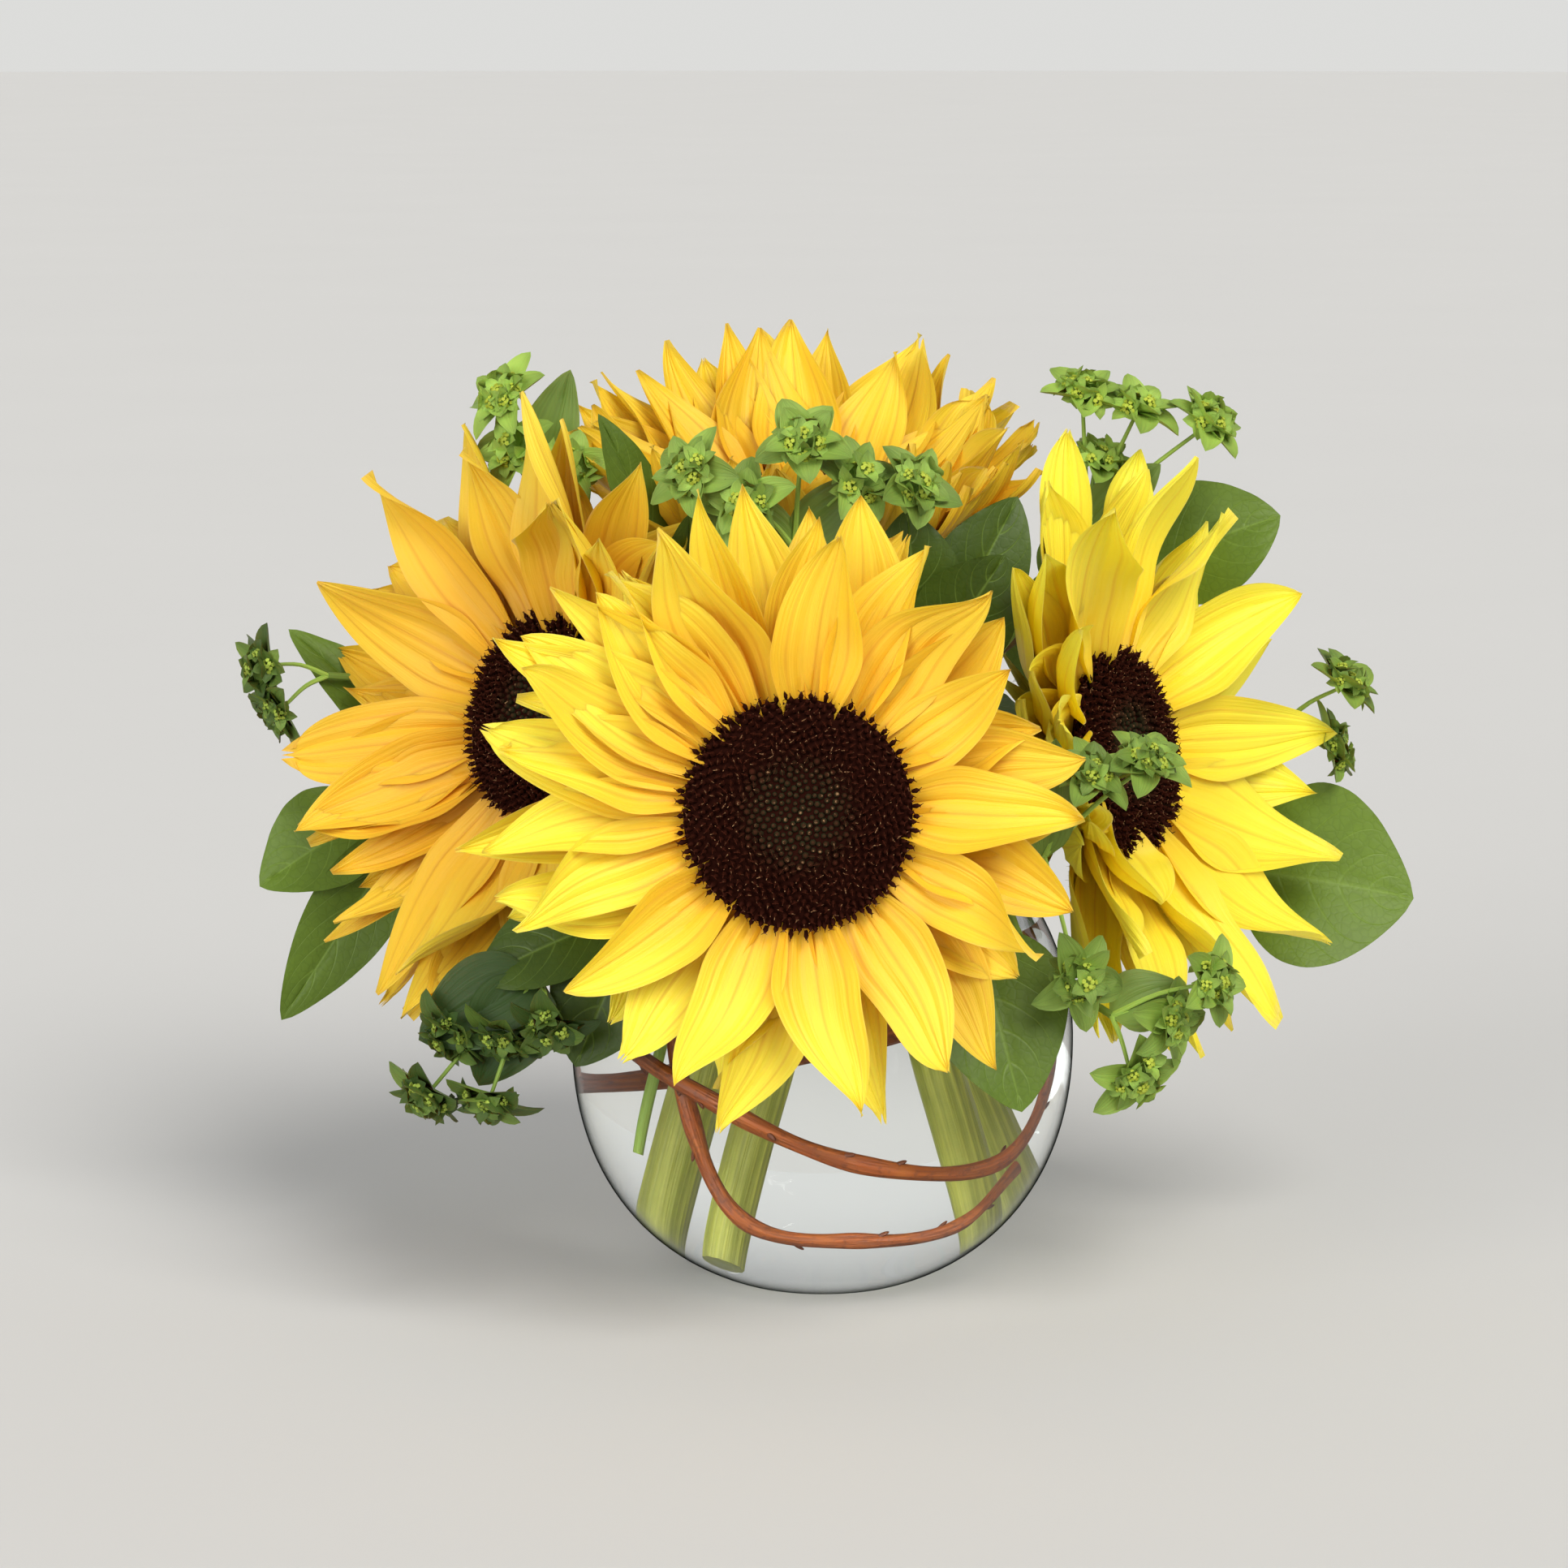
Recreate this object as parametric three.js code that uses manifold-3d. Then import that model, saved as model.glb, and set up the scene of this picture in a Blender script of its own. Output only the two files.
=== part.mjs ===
// Four sunflowers with salal leaves, bupleurum and curly willow, standing in a round glass bowl of water.
// Millimetres, +Z up. The origin is the centre of the bowl's flat foot, and the front sunflower faces -Y.
import * as THREE from "three";
import { mergeVertices } from "three/addons/utils/BufferGeometryUtils.js";
import Module from "manifold-3d";

const wasm = await Module();
wasm.setup();

// ---- Driving dimensions -------------------------------------------------------------------------------

const BOWL = {
  radius: 70, // at its widest
  wideHeight: 67.5, // height of the widest ring
  lowerDrop: 71.5, // depth that the lower curve would reach if the foot didn't cut it flat
  squareness: 2.2, // 2 is an ellipse, and more is fuller near the foot
  mouthRadius: 45,
  wall: 2.6,
  innerDrop: 63,
  floor: 6, // thickness of the glass under the water
  lip: 1.5, // how far the lip rises over the end of the curve
  sides: 30,
  outsideRings: 11,
  insideRings: 8,
  crowding: 1.35, // exponent that draws the rings together near the foot
};
const WATER = { level: 100, gap: 0.8, rings: 7 };
const STEM_CLEARANCE = 0.45; // from a stem to the water around it
const STEM = {
  footRadius: 5.4,
  neckRadius: 4.6,
  neck: [36, 21], // its last two points, behind the bloom's middle
  sides: 8,
  steps: 8,
};
const DISC = {
  under: 20, // radius of its flat underside
  seatHeight: 1,
  rimHeight: 5,
  wall: 2,
  crown: 10,
  rimInset: 1,
  flatness: 2.4, // exponent of the dome
  dimple: 2.6,
  dimpleWidth: 0.34, // of the radius
  navel: 0.3,
  sides: 24,
  rings: 6,
  spacing: 0.8, // exponent that draws the rings together at the rim
  relief: 0.8,
};
const PETAL = {
  count: 26,
  width: 21,
  thickness: 1.1,
  rootRadius: 20.5, // roots are sunk in the ring below the disc
  tucked: 5.5, // length between the root and the disc's edge
  rootWidth: 0.46, // of the full width
  fullFrom: 0.42, // of the length
  shoulder: 2.8, // exponents of its outline
  point: 0.85,
  fold: 0.2,
  steps: 3,
};
// The inner and outer layers of petals: height of the roots, the angle they leave at, and how much more or
// less than the bloom's own rise their tips climb.
const PETAL_LAYERS = [{ base: -0.8, rootRise: 15, lift: 9 }, { base: -2.8, rootRise: 3, lift: -9 }];
// How far petals differ from one another: in place, sideways bend, rise and twist (degrees), and the least
// length and width with what chance adds to them.
const PETAL_VARIETY = {
  place: 0.5,
  sweep: 0.3,
  rise: 26,
  twist: 56,
  length: [0.9, 0.22],
  width: [0.88, 0.26],
};
const RING = { inner: 16, outer: 23.2, bottom: -4, top: 0.3, sides: 16 }; // what the petals grow from
const CALYX = {
  bracts: 10, // in each of two rows
  depth: 24,
  cup: [[5.4, -24], [8, -18], [17, -13]], // up from the stem
  lowerRow: { tip: [41, -15], valley: [19.5, -11.5] },
  waist: [21, -10.5],
  upperRow: { tip: [48, -9.5], valley: [24.6, -7] },
  rim: [24, -4.6],
  seat: [15, 0.4], // the receptacle that the disc sits on
};
const WILLOW = { radius: 2.8, taper: 0.35, knob: 0.16, sides: 5, stepsPerBend: 2 };
const LEAF = {
  thickness: 1,
  fold: 0.16,
  petiole: 1.1, // half its width
  stalk: 0.17, // of the length
  arch: 0.12,
  broadLow: 0.8, // exponents of its outline
  fullness: 0.75,
  steps: 5,
};
const TWIG = { radius: 1.5, tipRadius: 1, sides: 4 };
const THIN_STEM = {
  inset: 6.4, // from the glass of the mouth
  foot: 84, // height of its cut end, where the spray gives none of its own
  straight: 3, // how far over the water it begins to bend
};
const ROSETTE = {
  bracts: 5,
  radius: 12,
  valley: 4.4, // radius between two bracts
  cup: 0.4, // slope of the bracts where they leave the knob
  curl: 31.2, // radius at which they would be down again
  knob: [3, 1.4], // radius and height of the florets' foot
  top: 4.4,
  under: -1.2,
  ray: 0.9,
  turn: 27, // degrees from one head to the next
};
const TOWARD_VIEWER = new THREE.Vector3(0, -0.6, 0.2);
const BOUQUET_HEART = new THREE.Vector3(0, 20, 120);

// Each sunflower: where the middle of its disc is, the way it faces, and the stem's course up to its neck.
// yields lists the sides, in degrees round the disc from its right, where petals give way to a neighbour:
// they rise to another angle and are shorter there.
const SUNFLOWERS = [
  {
    name: "front",
    at: [-7, -96, 146],
    faces: [-0.02, -0.985, 0.17],
    discRadius: 30,
    petalLength: 54,
    rise: 14,
    seed: 7,
    yields: [
      { toward: 10, spread: 50, rise: 14, length: 0.86 },
      { toward: 178, spread: 17, rise: 6, length: 1.2 },
    ],
    stem: [[36, -4, 19], [25, -8, 62], [14, -11, 104], [6, -24, 132]],
  },
  {
    name: "left",
    at: [-73, -20, 160],
    faces: [-0.72, -0.64, 0.27],
    discRadius: 28,
    petalLength: 60,
    rise: 36,
    seed: 21,
    yields: [
      { toward: 5, spread: 75, rise: -6, length: 0.58 },
      { toward: -130, spread: 60, rise: 34, length: 1.12 },
    ],
    stem: [[38, 20, 22], [26, 17, 62], [12, 12, 106], [-6, 12, 125]],
  },
  {
    name: "right",
    at: [77, -20, 150],
    faces: [0.84, -0.5, 0.2],
    discRadius: 28,
    petalLength: 62,
    rise: 34,
    seed: 35,
    yields: [{ toward: 180, spread: 62, rise: 44, length: 0.58 }],
    stem: [[-24, -20, 15], [-12, -12, 60], [1, -4, 105], [13, 0, 126]],
  },
  {
    name: "top",
    at: [-5, 22, 206],
    faces: [0, -0.25, 0.97],
    discRadius: 28,
    petalLength: 55,
    rise: 56,
    seed: 50,
    yields: [
      { toward: -90, spread: 100, rise: 98, length: 0.88 },
      { toward: 180, spread: 60, rise: 60, length: 0.88 },
      { toward: 0, spread: 60, rise: 62, length: 0.86 },
    ],
    stem: [[-33, 10, 18], [-22, 18, 62], [-12, 22, 106], [-8, 27, 140]],
  },
];

// Curly willow, point by point from its top end, wound round the inside of the bowl.
const WILLOWS = [
  [
    [-24, -25, 130], [-26, -27, 117], [-37, -34, 92], [-33, -39, 55], [-20, -42, 28], [8, -42, 23],
    [34, -32, 25], [46, -16, 38],
  ],
  [
    [-36, -9, 128], [-37, -10, 118], [-50, -20, 99], [-55, -28, 78], [-26, -54, 60], [10, -57, 45],
    [46, -32, 42], [55, -14, 62], [50, -8, 95], [38, -5, 117], [36, -6, 130],
  ],
  [[9, 35, 130], [10, 36, 118], [26, 47, 93], [22, 56, 62], [-18, 56, 50], [-48, 32, 50], [-56, 4, 58]],
];

// Leafy twigs of salal. Each stands in the water at a bearing round the bowl, in degrees from the right, and
// goes over the lip by the points of its course. Each leaf has the place where it leaves the course (0 to 1,
// over the lip), its tip, its breadth and the way its upper side faces.
const SALAL = [
  {
    bearing: 66,
    course: [[30, 40, 150], [62, 44, 178], [84, 44, 190]],
    leaves: [
      { from: 1, tip: [130, 42, 209], breadth: 36, faces: [-0.2, -0.9, 0.4] },
      { from: 0.8, tip: [92, 72, 208], breadth: 32, faces: [0.4, 0.2, 0.8] },
    ],
  },
  {
    bearing: 0,
    course: [[46, 3, 131], [78, 26, 122], [110, 44, 108]],
    leaves: [
      { from: 1, tip: [169, 35, 100], breadth: 54, faces: [-0.1, -0.9, 0.45] },
      { from: 0.85, tip: [112, 72, 104], breadth: 34, faces: [0.3, 0.1, 0.9] },
    ],
  },
  {
    bearing: -52,
    course: [[29, -42, 128], [36, -58, 118]],
    leaves: [
      { from: 1, tip: [52, -82, 64], breadth: 38, faces: [0.1, -0.9, 0.5] },
      { from: 0.95, tip: [12, -68, 92], breadth: 26, faces: [0, -0.9, 0.4] },
    ],
  },
  {
    bearing: 180,
    course: [[-60, 16, 130], [-100, 40, 132], [-120, 40, 128]],
    leaves: [
      { from: 1, tip: [-160, 32, 104], breadth: 30, faces: [0.1, -0.8, 0.6] },
      { from: 0.93, tip: [-154, 28, 66], breadth: 24, faces: [0.3, -0.9, 0.3] },
      { from: 0.85, tip: [-152, 46, 176], breadth: 17, faces: [0.1, -0.8, 0.6] },
    ],
  },
  {
    bearing: 240,
    course: [[-34, -50, 126], [-50, -62, 114]],
    leaves: [
      { from: 1, tip: [-92, -66, 96], breadth: 26, faces: [-0.2, -0.8, 0.6] },
      { from: 0.95, tip: [-66, -72, 74], breadth: 30, faces: [-0.1, -0.95, 0.3] },
    ],
  },
  {
    bearing: 156,
    course: [[-32, 14, 142], [-42, -6, 192]],
    leaves: [
      { from: 1, tip: [-61, -19, 243], breadth: 14, faces: [0.5, -0.8, 0.1] },
      { from: 0.9, tip: [-36, -40, 218], breadth: 20, faces: [0.1, -0.9, 0.3] },
    ],
  },
  {
    bearing: -68,
    course: [[20, -38, 150], [26, -42, 176]],
    leaves: [
      { from: 1, tip: [22, -48, 220], breadth: 26, faces: [0, -0.95, 0.2] },
      { from: 0.97, tip: [48, -50, 208], breadth: 26, faces: [0.2, -0.9, 0.3] },
      { from: 1, tip: [52, -34, 222], breadth: 26, faces: [0.2, -0.95, 0.1] },
      { from: 0.85, tip: [-20, -50, 196], breadth: 28, faces: [0, -0.95, 0.2] },
    ],
  },
  {
    bearing: 86,
    course: [[12, 62, 142], [22, 80, 150]],
    leaves: [
      { from: 1, tip: [58, 100, 138], breadth: 34, faces: [0.3, 0.6, 0.8] },
      { from: 0.92, tip: [30, 114, 182], breadth: 36, faces: [0, -0.3, 0.9] },
      { from: 0.85, tip: [4, 98, 112], breadth: 34, faces: [0, 0.7, 0.6] },
    ],
  },
  {
    bearing: 112,
    course: [[-30, 58, 142], [-50, 66, 154]],
    leaves: [
      { from: 1, tip: [-92, 78, 172], breadth: 34, faces: [-0.1, 0.5, 0.8] },
      { from: 0.97, tip: [-62, 96, 196], breadth: 32, faces: [0, 0.8, 0.5] },
      { from: 0.88, tip: [-70, 86, 120], breadth: 36, faces: [-0.3, 0.7, 0.6] },
    ],
  },
  {
    bearing: 50,
    course: [[54, 50, 138], [70, 62, 150]],
    leaves: [
      { from: 1, tip: [112, 78, 160], breadth: 34, faces: [0.2, 0.6, 0.8] },
      { from: 0.95, tip: [70, 100, 190], breadth: 32, faces: [0.1, 0.8, 0.5] },
      { from: 0.88, tip: [84, 84, 112], breadth: 34, faces: [0.3, 0.6, 0.7] },
    ],
  },
];

// Bupleurum sprays, placed as the salal is, one with a longer foot that leans to the glass. Each head is a
// rosette on its own ray from the end of the course.
const BUPLEURUM = [
  {
    bearing: 142,
    course: [[-50, 34, 150], [-73, 28, 186], [-80, 20, 218]],
    heads: [[-70, 4, 225], [-87, 14, 244], [-84, 14, 230]],
    leaves: [{ tip: [-70, 20, 252], breadth: 16, faces: [-0.1, -0.9, 0.3] }],
  },
  {
    bearing: -106,
    course: [[-12, -42, 150], [-10, -46, 190], [-8, -50, 210]],
    heads: [[-34, -54, 230], [-20, -58, 222], [-6, -56, 238], [8, -54, 228], [23, -54, 226]],
    leaves: [],
  },
  {
    bearing: 58,
    course: [[34, 34, 150], [62, 26, 188], [74, 20, 208]],
    heads: [[76, 20, 225], [72, 16, 244], [106, 18, 236], [87, 16, 240]],
    leaves: [{ tip: [94, 16, 226], breadth: 14, faces: [0, -0.9, 0.3] }],
  },
  {
    bearing: 14,
    course: [[52, 18, 134], [104, 50, 142], [130, 42, 148]],
    heads: [[147, 33, 161], [144, 44, 142]],
    leaves: [],
  },
  {
    bearing: -36,
    course: [[46, -46, 130], [58, -68, 130]],
    heads: [[69, -84, 153], [83, -82, 156], [66, -82, 100]],
    leaves: [{ tip: [60, -84, 164], breadth: 13, faces: [0, -0.9, 0.3] }],
  },
  {
    bearing: -20,
    course: [[42, -22, 129], [56, -58, 100], [76, -72, 88]],
    heads: [[90, -72, 87], [81, -74, 73], [101, -74, 97]],
    leaves: [],
  },
  {
    bearing: 212,
    foot: [-44, -20, 42],
    course: [[-38, -28, 129], [-58, -54, 112], [-76, -68, 98]],
    heads: [[-104, -70, 68], [-98, -68, 84], [-84, -72, 84], [-72, -78, 88], [-88, -76, 68]],
    leaves: [],
  },
  {
    bearing: 168,
    course: [[-60, 24, 140], [-112, 44, 160], [-140, 36, 164]],
    heads: [[-155, 30, 168], [-152, 30, 156]],
    leaves: [],
  },
  {
    bearing: 98,
    course: [[-6, 58, 150], [-10, 84, 174]],
    heads: [[-8, 98, 192], [-26, 100, 184], [10, 100, 192]],
    leaves: [],
  },
];

const COLOURS = {
  bowl: { color: "#eef6f4", roughness: 0.02, opacity: 0.25 },
  water: { color: "#dfeeea", roughness: 0.02, opacity: 0.2 },
  petals: { color: "#f7c21c", roughness: 0.55 },
  disc: { color: "#2a0f0a", roughness: 0.85 },
  stem: { color: "#7c9a3c", roughness: 0.55 },
  salal: { color: "#2f5a24", roughness: 0.4 },
  bupleurum: { color: "#6fa23c", roughness: 0.6 },
  willow: { color: "#9a4a1c", roughness: 0.5 },
};

// ---- Solids -------------------------------------------------------------------------------------------

const UP = new THREE.Vector3(0, 0, 1);
const ASIDE = new THREE.Vector3(0.3, 1, 0.2); // not along any stem

const radians = THREE.MathUtils.degToRad;
const vector = (list) => new THREE.Vector3(...list);

// A geometry as a manifold-3d solid, its shared vertices merged.
function solidOf(geometry) {
  geometry.deleteAttribute("normal");
  geometry.deleteAttribute("uv");
  const merged = mergeVertices(geometry, 1e-3);
  return new wasm.Manifold(
    new wasm.Mesh({
      numProp: 3,
      vertProperties: merged.attributes.position.array,
      triVerts: new Uint32Array(merged.index.array),
    }),
  );
}

const fuse = (solids) => solids.reduce((whole, solid) => whole.add(solid));

// The largest of the bodies that a solid falls into.
function largestBody(solid) {
  const bodies = solid.decompose();
  return bodies.reduce((best, body) => (body.volume() > best.volume() ? body : best));
}

function geometryOf(solid) {
  const mesh = solid.getMesh();
  const stride = mesh.numProp;
  const positions = new Float32Array(mesh.numVert * 3);
  for (let i = 0; i < mesh.numVert; i++) {
    positions.set(mesh.vertProperties.subarray(i * stride, i * stride + 3), i * 3);
  }
  const geometry = new THREE.BufferGeometry();
  geometry.setAttribute("position", new THREE.BufferAttribute(positions, 3));
  geometry.setIndex(new THREE.BufferAttribute(mesh.triVerts, 1));
  geometry.computeVertexNormals();
  return geometry;
}

function addMesh(parent, name, solid, look) {
  const { color, roughness, opacity = 1 } = COLOURS[look];
  const transparent = opacity < 1;
  const material = new THREE.MeshStandardMaterial({ color, roughness, metalness: 0, opacity, transparent });
  const mesh = new THREE.Mesh(geometryOf(solid), material);
  mesh.name = name;
  parent.add(mesh);
}

// A repeatable stream of numbers from 0 to 1.
function random(seed) {
  let state = seed * 48271 + 11;
  return () => {
    state = (state * 16807) % 2147483647;
    return state / 2147483647;
  };
}

// Turns the diagonals of every second strip of a cylinder's side: a blade's two faces are then split alike and
// don't cross where it twists.
function splitAlike(cylinder, strips, steps) {
  const { index } = cylinder;
  for (let strip = 1; strip < strips; strip += 2) {
    for (let step = 0; step < steps; step++) {
      const first = (strip * steps + step) * 6;
      const [a, b, d, , c] = index.array.slice(first, first + 6);
      index.array.set([a, b, c, a, c, d], first);
    }
  }
}

// A closed tube: a cylinder whose rings go where place(t, angle, radial) says, with t from 0 to 1 along it.
function loft(sides, steps, place, alike = false) {
  const shape = new THREE.CylinderGeometry(1, 1, 1, sides, steps);
  if (alike) splitAlike(shape, sides, steps);
  const positions = shape.attributes.position;
  for (let i = 0; i < positions.count; i++) {
    const [x, y, z] = [positions.getX(i), positions.getY(i), positions.getZ(i)];
    positions.setXYZ(i, ...place(y + 0.5, Math.atan2(x, z), Math.hypot(x, z)));
  }
  return solidOf(shape);
}

// Rings across a curve at the given parameters, each with two directions across it, carried without twist.
function ringsAlong(curve, stations) {
  const rings = [];
  for (const t of stations) {
    const along = curve.getTangent(t);
    const previous = rings.at(-1);
    const bend = new THREE.Quaternion().setFromUnitVectors(previous?.along ?? along, along);
    const across = previous?.across.clone().applyQuaternion(bend) ?? ASIDE.clone().cross(along).normalize();
    rings.push({ at: curve.getPoint(t), along, across, other: along.clone().cross(across) });
  }
  return rings;
}

const evenly = (steps) => Array.from({ length: steps + 1 }, (_, i) => i / steps);

// A round stem along a curve, radiusAt(t) thick. With room it is that much larger all round and longer.
function tube({ curve, radiusAt, sides, stations, room = 0 }) {
  const rings = ringsAlong(curve, stations);
  rings[0].at.addScaledVector(rings[0].along, -room);
  rings.at(-1).at.addScaledVector(rings.at(-1).along, room);
  return loft(sides, stations.length - 1, (t, angle, radial) => {
    const ring = Math.round(t * (stations.length - 1));
    const { at, across, other } = rings[ring];
    const r = radial * (radiusAt(stations[ring]) + room);
    return at
      .clone()
      .addScaledVector(across, Math.cos(angle) * r)
      .addScaledVector(other, Math.sin(angle) * r);
  });
}

const curveThrough = (points) => new THREE.CatmullRomCurve3(points);

// A thin pointed blade, folded along its middle. spine(t) gives a point, the direction there and the way it
// faces.
function blade({ spine, halfWidth, thickness, fold, steps }) {
  const skin = (t, angle, radial) => {
    const { at, along, face } = spine(t);
    const across = Math.sin(angle) * radial;
    const half = halfWidth(t);
    const depth = t < 1 ? (Math.cos(angle) * radial * thickness) / 2 : 0;
    const side = along.clone().cross(face).normalize();
    return at
      .clone()
      .addScaledVector(side, across * half)
      .addScaledVector(face, depth + fold * Math.abs(across) * half);
  };
  return loft(4, steps, skin, true);
}

// A solid of revolution about +Z from [radius, height] pairs that run from the bottom of the axis to its top,
// or round a closed section. reshape(radius, height, ring, side) can move each point of it.
function turned(profile, sides, reshape = (radius, height) => [radius, height]) {
  const shape = new THREE.LatheGeometry(profile.map(([r, z]) => new THREE.Vector2(r, z)), sides);
  const positions = shape.attributes.position;
  for (let i = 0; i < positions.count; i++) {
    const ring = i % profile.length;
    const side = Math.floor(i / profile.length) % sides;
    const [radius, height] = reshape(...profile[ring], ring, side);
    const angle = (side / sides) * 2 * Math.PI;
    positions.setXYZ(i, radius * Math.sin(angle), height, radius * Math.cos(angle));
  }
  return solidOf(shape.rotateX(Math.PI / 2));
}

// ---- Bowl and water -----------------------------------------------------------------------------------

// Radius of the bowl's curve at a height: a fuller lower half, and a ball above the widest ring.
function curveRadius(radius, drop, height) {
  const below = (BOWL.wideHeight - height) / drop;
  if (below <= 0) {
    return Math.sqrt(radius ** 2 - (height - BOWL.wideHeight) ** 2);
  }
  return radius * (1 - below ** BOWL.squareness) ** (1 / BOWL.squareness);
}

// Points up that curve, closer together near the bottom, where it turns fastest.
function curvePoints(radius, drop, from, to, count) {
  return Array.from({ length: count + 1 }, (_, i) => {
    const height = from + (to - from) * (i / count) ** BOWL.crowding;
    return [curveRadius(radius, drop, height), height];
  });
}

const innerRadius = BOWL.radius - BOWL.wall;
const mouthHeight = BOWL.wideHeight + Math.sqrt(BOWL.radius ** 2 - BOWL.mouthRadius ** 2);

function bowlSolid() {
  const outside = curvePoints(BOWL.radius, BOWL.lowerDrop, 0, mouthHeight, BOWL.outsideRings);
  const inside = curvePoints(innerRadius, BOWL.innerDrop, BOWL.floor, mouthHeight, BOWL.insideRings);
  const lipTop = [BOWL.mouthRadius - BOWL.wall / 2, mouthHeight + BOWL.lip];
  return turned([[0, 0], ...outside, lipTop, ...inside.reverse(), [0, BOWL.floor]], BOWL.sides);
}

function waterSolid(holes) {
  const floor = BOWL.floor + WATER.gap;
  const [radius, drop] = [innerRadius - WATER.gap, BOWL.innerDrop - WATER.gap];
  const side = curvePoints(radius, drop, floor, WATER.level, WATER.rings);
  const body = turned([[0, floor], ...side, [0, WATER.level]], BOWL.sides);
  return largestBody(body.subtract(fuse(holes)));
}

// ---- Sunflowers ---------------------------------------------------------------------------------------

// The bloom's own frame: +Z the way it faces, +X to its right as it is looked at, +Y up its face.
function bloomFrame(flower) {
  const z = vector(flower.faces).normalize();
  const x = UP.clone().cross(z).normalize();
  const y = z.clone().cross(x);
  return new THREE.Matrix4().makeBasis(x, y, z).setPosition(vector(flower.at));
}

const LEAST_BEND = 1e-4; // in radians, stands in for a line that hardly bends or not at all

// A strip's line in a bloom: it starts at radius root and height base and climbs from one angle to another.
function risingLine({ azimuth, root, base, length, rootRise, tipRise, sweep, twist }) {
  const out = new THREE.Vector3(Math.cos(azimuth), Math.sin(azimuth), 0);
  const aside = new THREE.Vector3(-Math.sin(azimuth), Math.cos(azimuth), 0);
  const rise = tipRise - rootRise;
  const bend = Math.abs(rise) < LEAST_BEND ? LEAST_BEND : rise;
  return (t) => {
    const angle = rootRise + bend * t;
    const reach = (length * (Math.sin(angle) - Math.sin(rootRise))) / bend;
    const climb = (length * (Math.cos(rootRise) - Math.cos(angle))) / bend;
    const at = out.clone().multiplyScalar(root + reach).addScaledVector(aside, sweep * length * t * t);
    at.z = base + climb;
    const along = out.clone().multiplyScalar(Math.cos(angle)).addScaledVector(aside, 2 * sweep * t);
    along.z = Math.sin(angle);
    along.normalize();
    const face = out.clone().multiplyScalar(-Math.sin(angle));
    face.z = Math.cos(angle);
    face.applyAxisAngle(along, twist * t);
    return { at, along, face };
  };
}

const FULL_YIELD = 0.6; // how far in from the end of its spread a side gives way in full

// How strongly an azimuth lies on the side that gives way, from 0 to 1.
function giveWay(azimuth, { toward, spread }) {
  const turned = THREE.MathUtils.euclideanModulo(azimuth - radians(toward) + Math.PI, 2 * Math.PI);
  const away = Math.abs(turned - Math.PI);
  return THREE.MathUtils.smoothstep(1 - away / radians(spread), 0, FULL_YIELD);
}

// The ray petals of a bloom, alternately in an inner and an outer layer.
function petalsOf(flower) {
  const draw = random(flower.seed);
  const aboutZero = (spread) => spread * (draw() - 0.5);
  const atLeast = ([least, more]) => least + more * draw();
  return Array.from({ length: PETAL.count }, (_, i) => {
    const layer = PETAL_LAYERS[i % 2];
    const petal = {
      azimuth: ((i + aboutZero(PETAL_VARIETY.place)) * 2 * Math.PI) / PETAL.count,
      root: PETAL.rootRadius,
      base: layer.base,
      length: flower.petalLength * atLeast(PETAL_VARIETY.length) + PETAL.tucked,
      width: PETAL.width * atLeast(PETAL_VARIETY.width),
      rootRise: radians(layer.rootRise),
      tipRise: radians(flower.rise + layer.lift + aboutZero(PETAL_VARIETY.rise)),
      sweep: aboutZero(PETAL_VARIETY.sweep),
      twist: radians(aboutZero(PETAL_VARIETY.twist)),
    };
    for (const side of flower.yields) {
      const share = giveWay(petal.azimuth, side);
      petal.tipRise += share * (radians(side.rise) - petal.tipRise);
      petal.length *= 1 - share * (1 - side.length);
    }
    return petal;
  });
}

// A petal's half width: a narrow claw, then full, then drawn to a point.
function petalHalfWidth(width, t) {
  const { rootWidth, fullFrom, shoulder, point } = PETAL;
  const spread = rootWidth + (1 - rootWidth) * THREE.MathUtils.smoothstep(t, 0, fullFrom);
  return (width / 2) * spread * (1 - t ** shoulder) ** point;
}

function petalsSolid(flower) {
  const { inner, outer, bottom, top } = RING;
  const section = [[inner, bottom], [outer, bottom], [outer, top], [inner, top], [inner, bottom]];
  const petals = petalsOf(flower).map((petal) =>
    blade({
      spine: risingLine(petal),
      halfWidth: (t) => petalHalfWidth(petal.width, t),
      thickness: PETAL.thickness,
      fold: PETAL.fold,
      steps: PETAL.steps,
    }),
  );
  return fuse([turned(section, RING.sides), ...petals]);
}

// The disc: a low dome whose florets stand up in crossing spirals.
function discSolid(flower) {
  const r = flower.discRadius;
  const wallTop = DISC.rimHeight + DISC.wall;
  const dome = Array.from({ length: DISC.rings }, (_, i) => {
    const out = Math.cos((i / DISC.rings) * (Math.PI / 2)) ** DISC.spacing;
    const dimple = DISC.dimple * Math.exp(-((out / DISC.dimpleWidth) ** 2));
    return [r * out, wallTop + (DISC.crown - wallTop) * (1 - out ** DISC.flatness) - dimple];
  });
  const under = [[0, DISC.seatHeight], [DISC.under, DISC.seatHeight], [r - DISC.rimInset, DISC.rimHeight]];
  const top = [0, dome.at(-1)[1] - DISC.navel];
  return turned([...under, ...dome, top], DISC.sides, (radius, height, ring, side) => {
    const floret = ring - under.length;
    if (floret < 0 || floret >= DISC.rings) return [radius, height];
    const raised = (side + floret) % 2 === 0 ? DISC.relief : -DISC.relief;
    return [floret === 0 ? radius + raised : radius, height + raised];
  });
}

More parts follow.
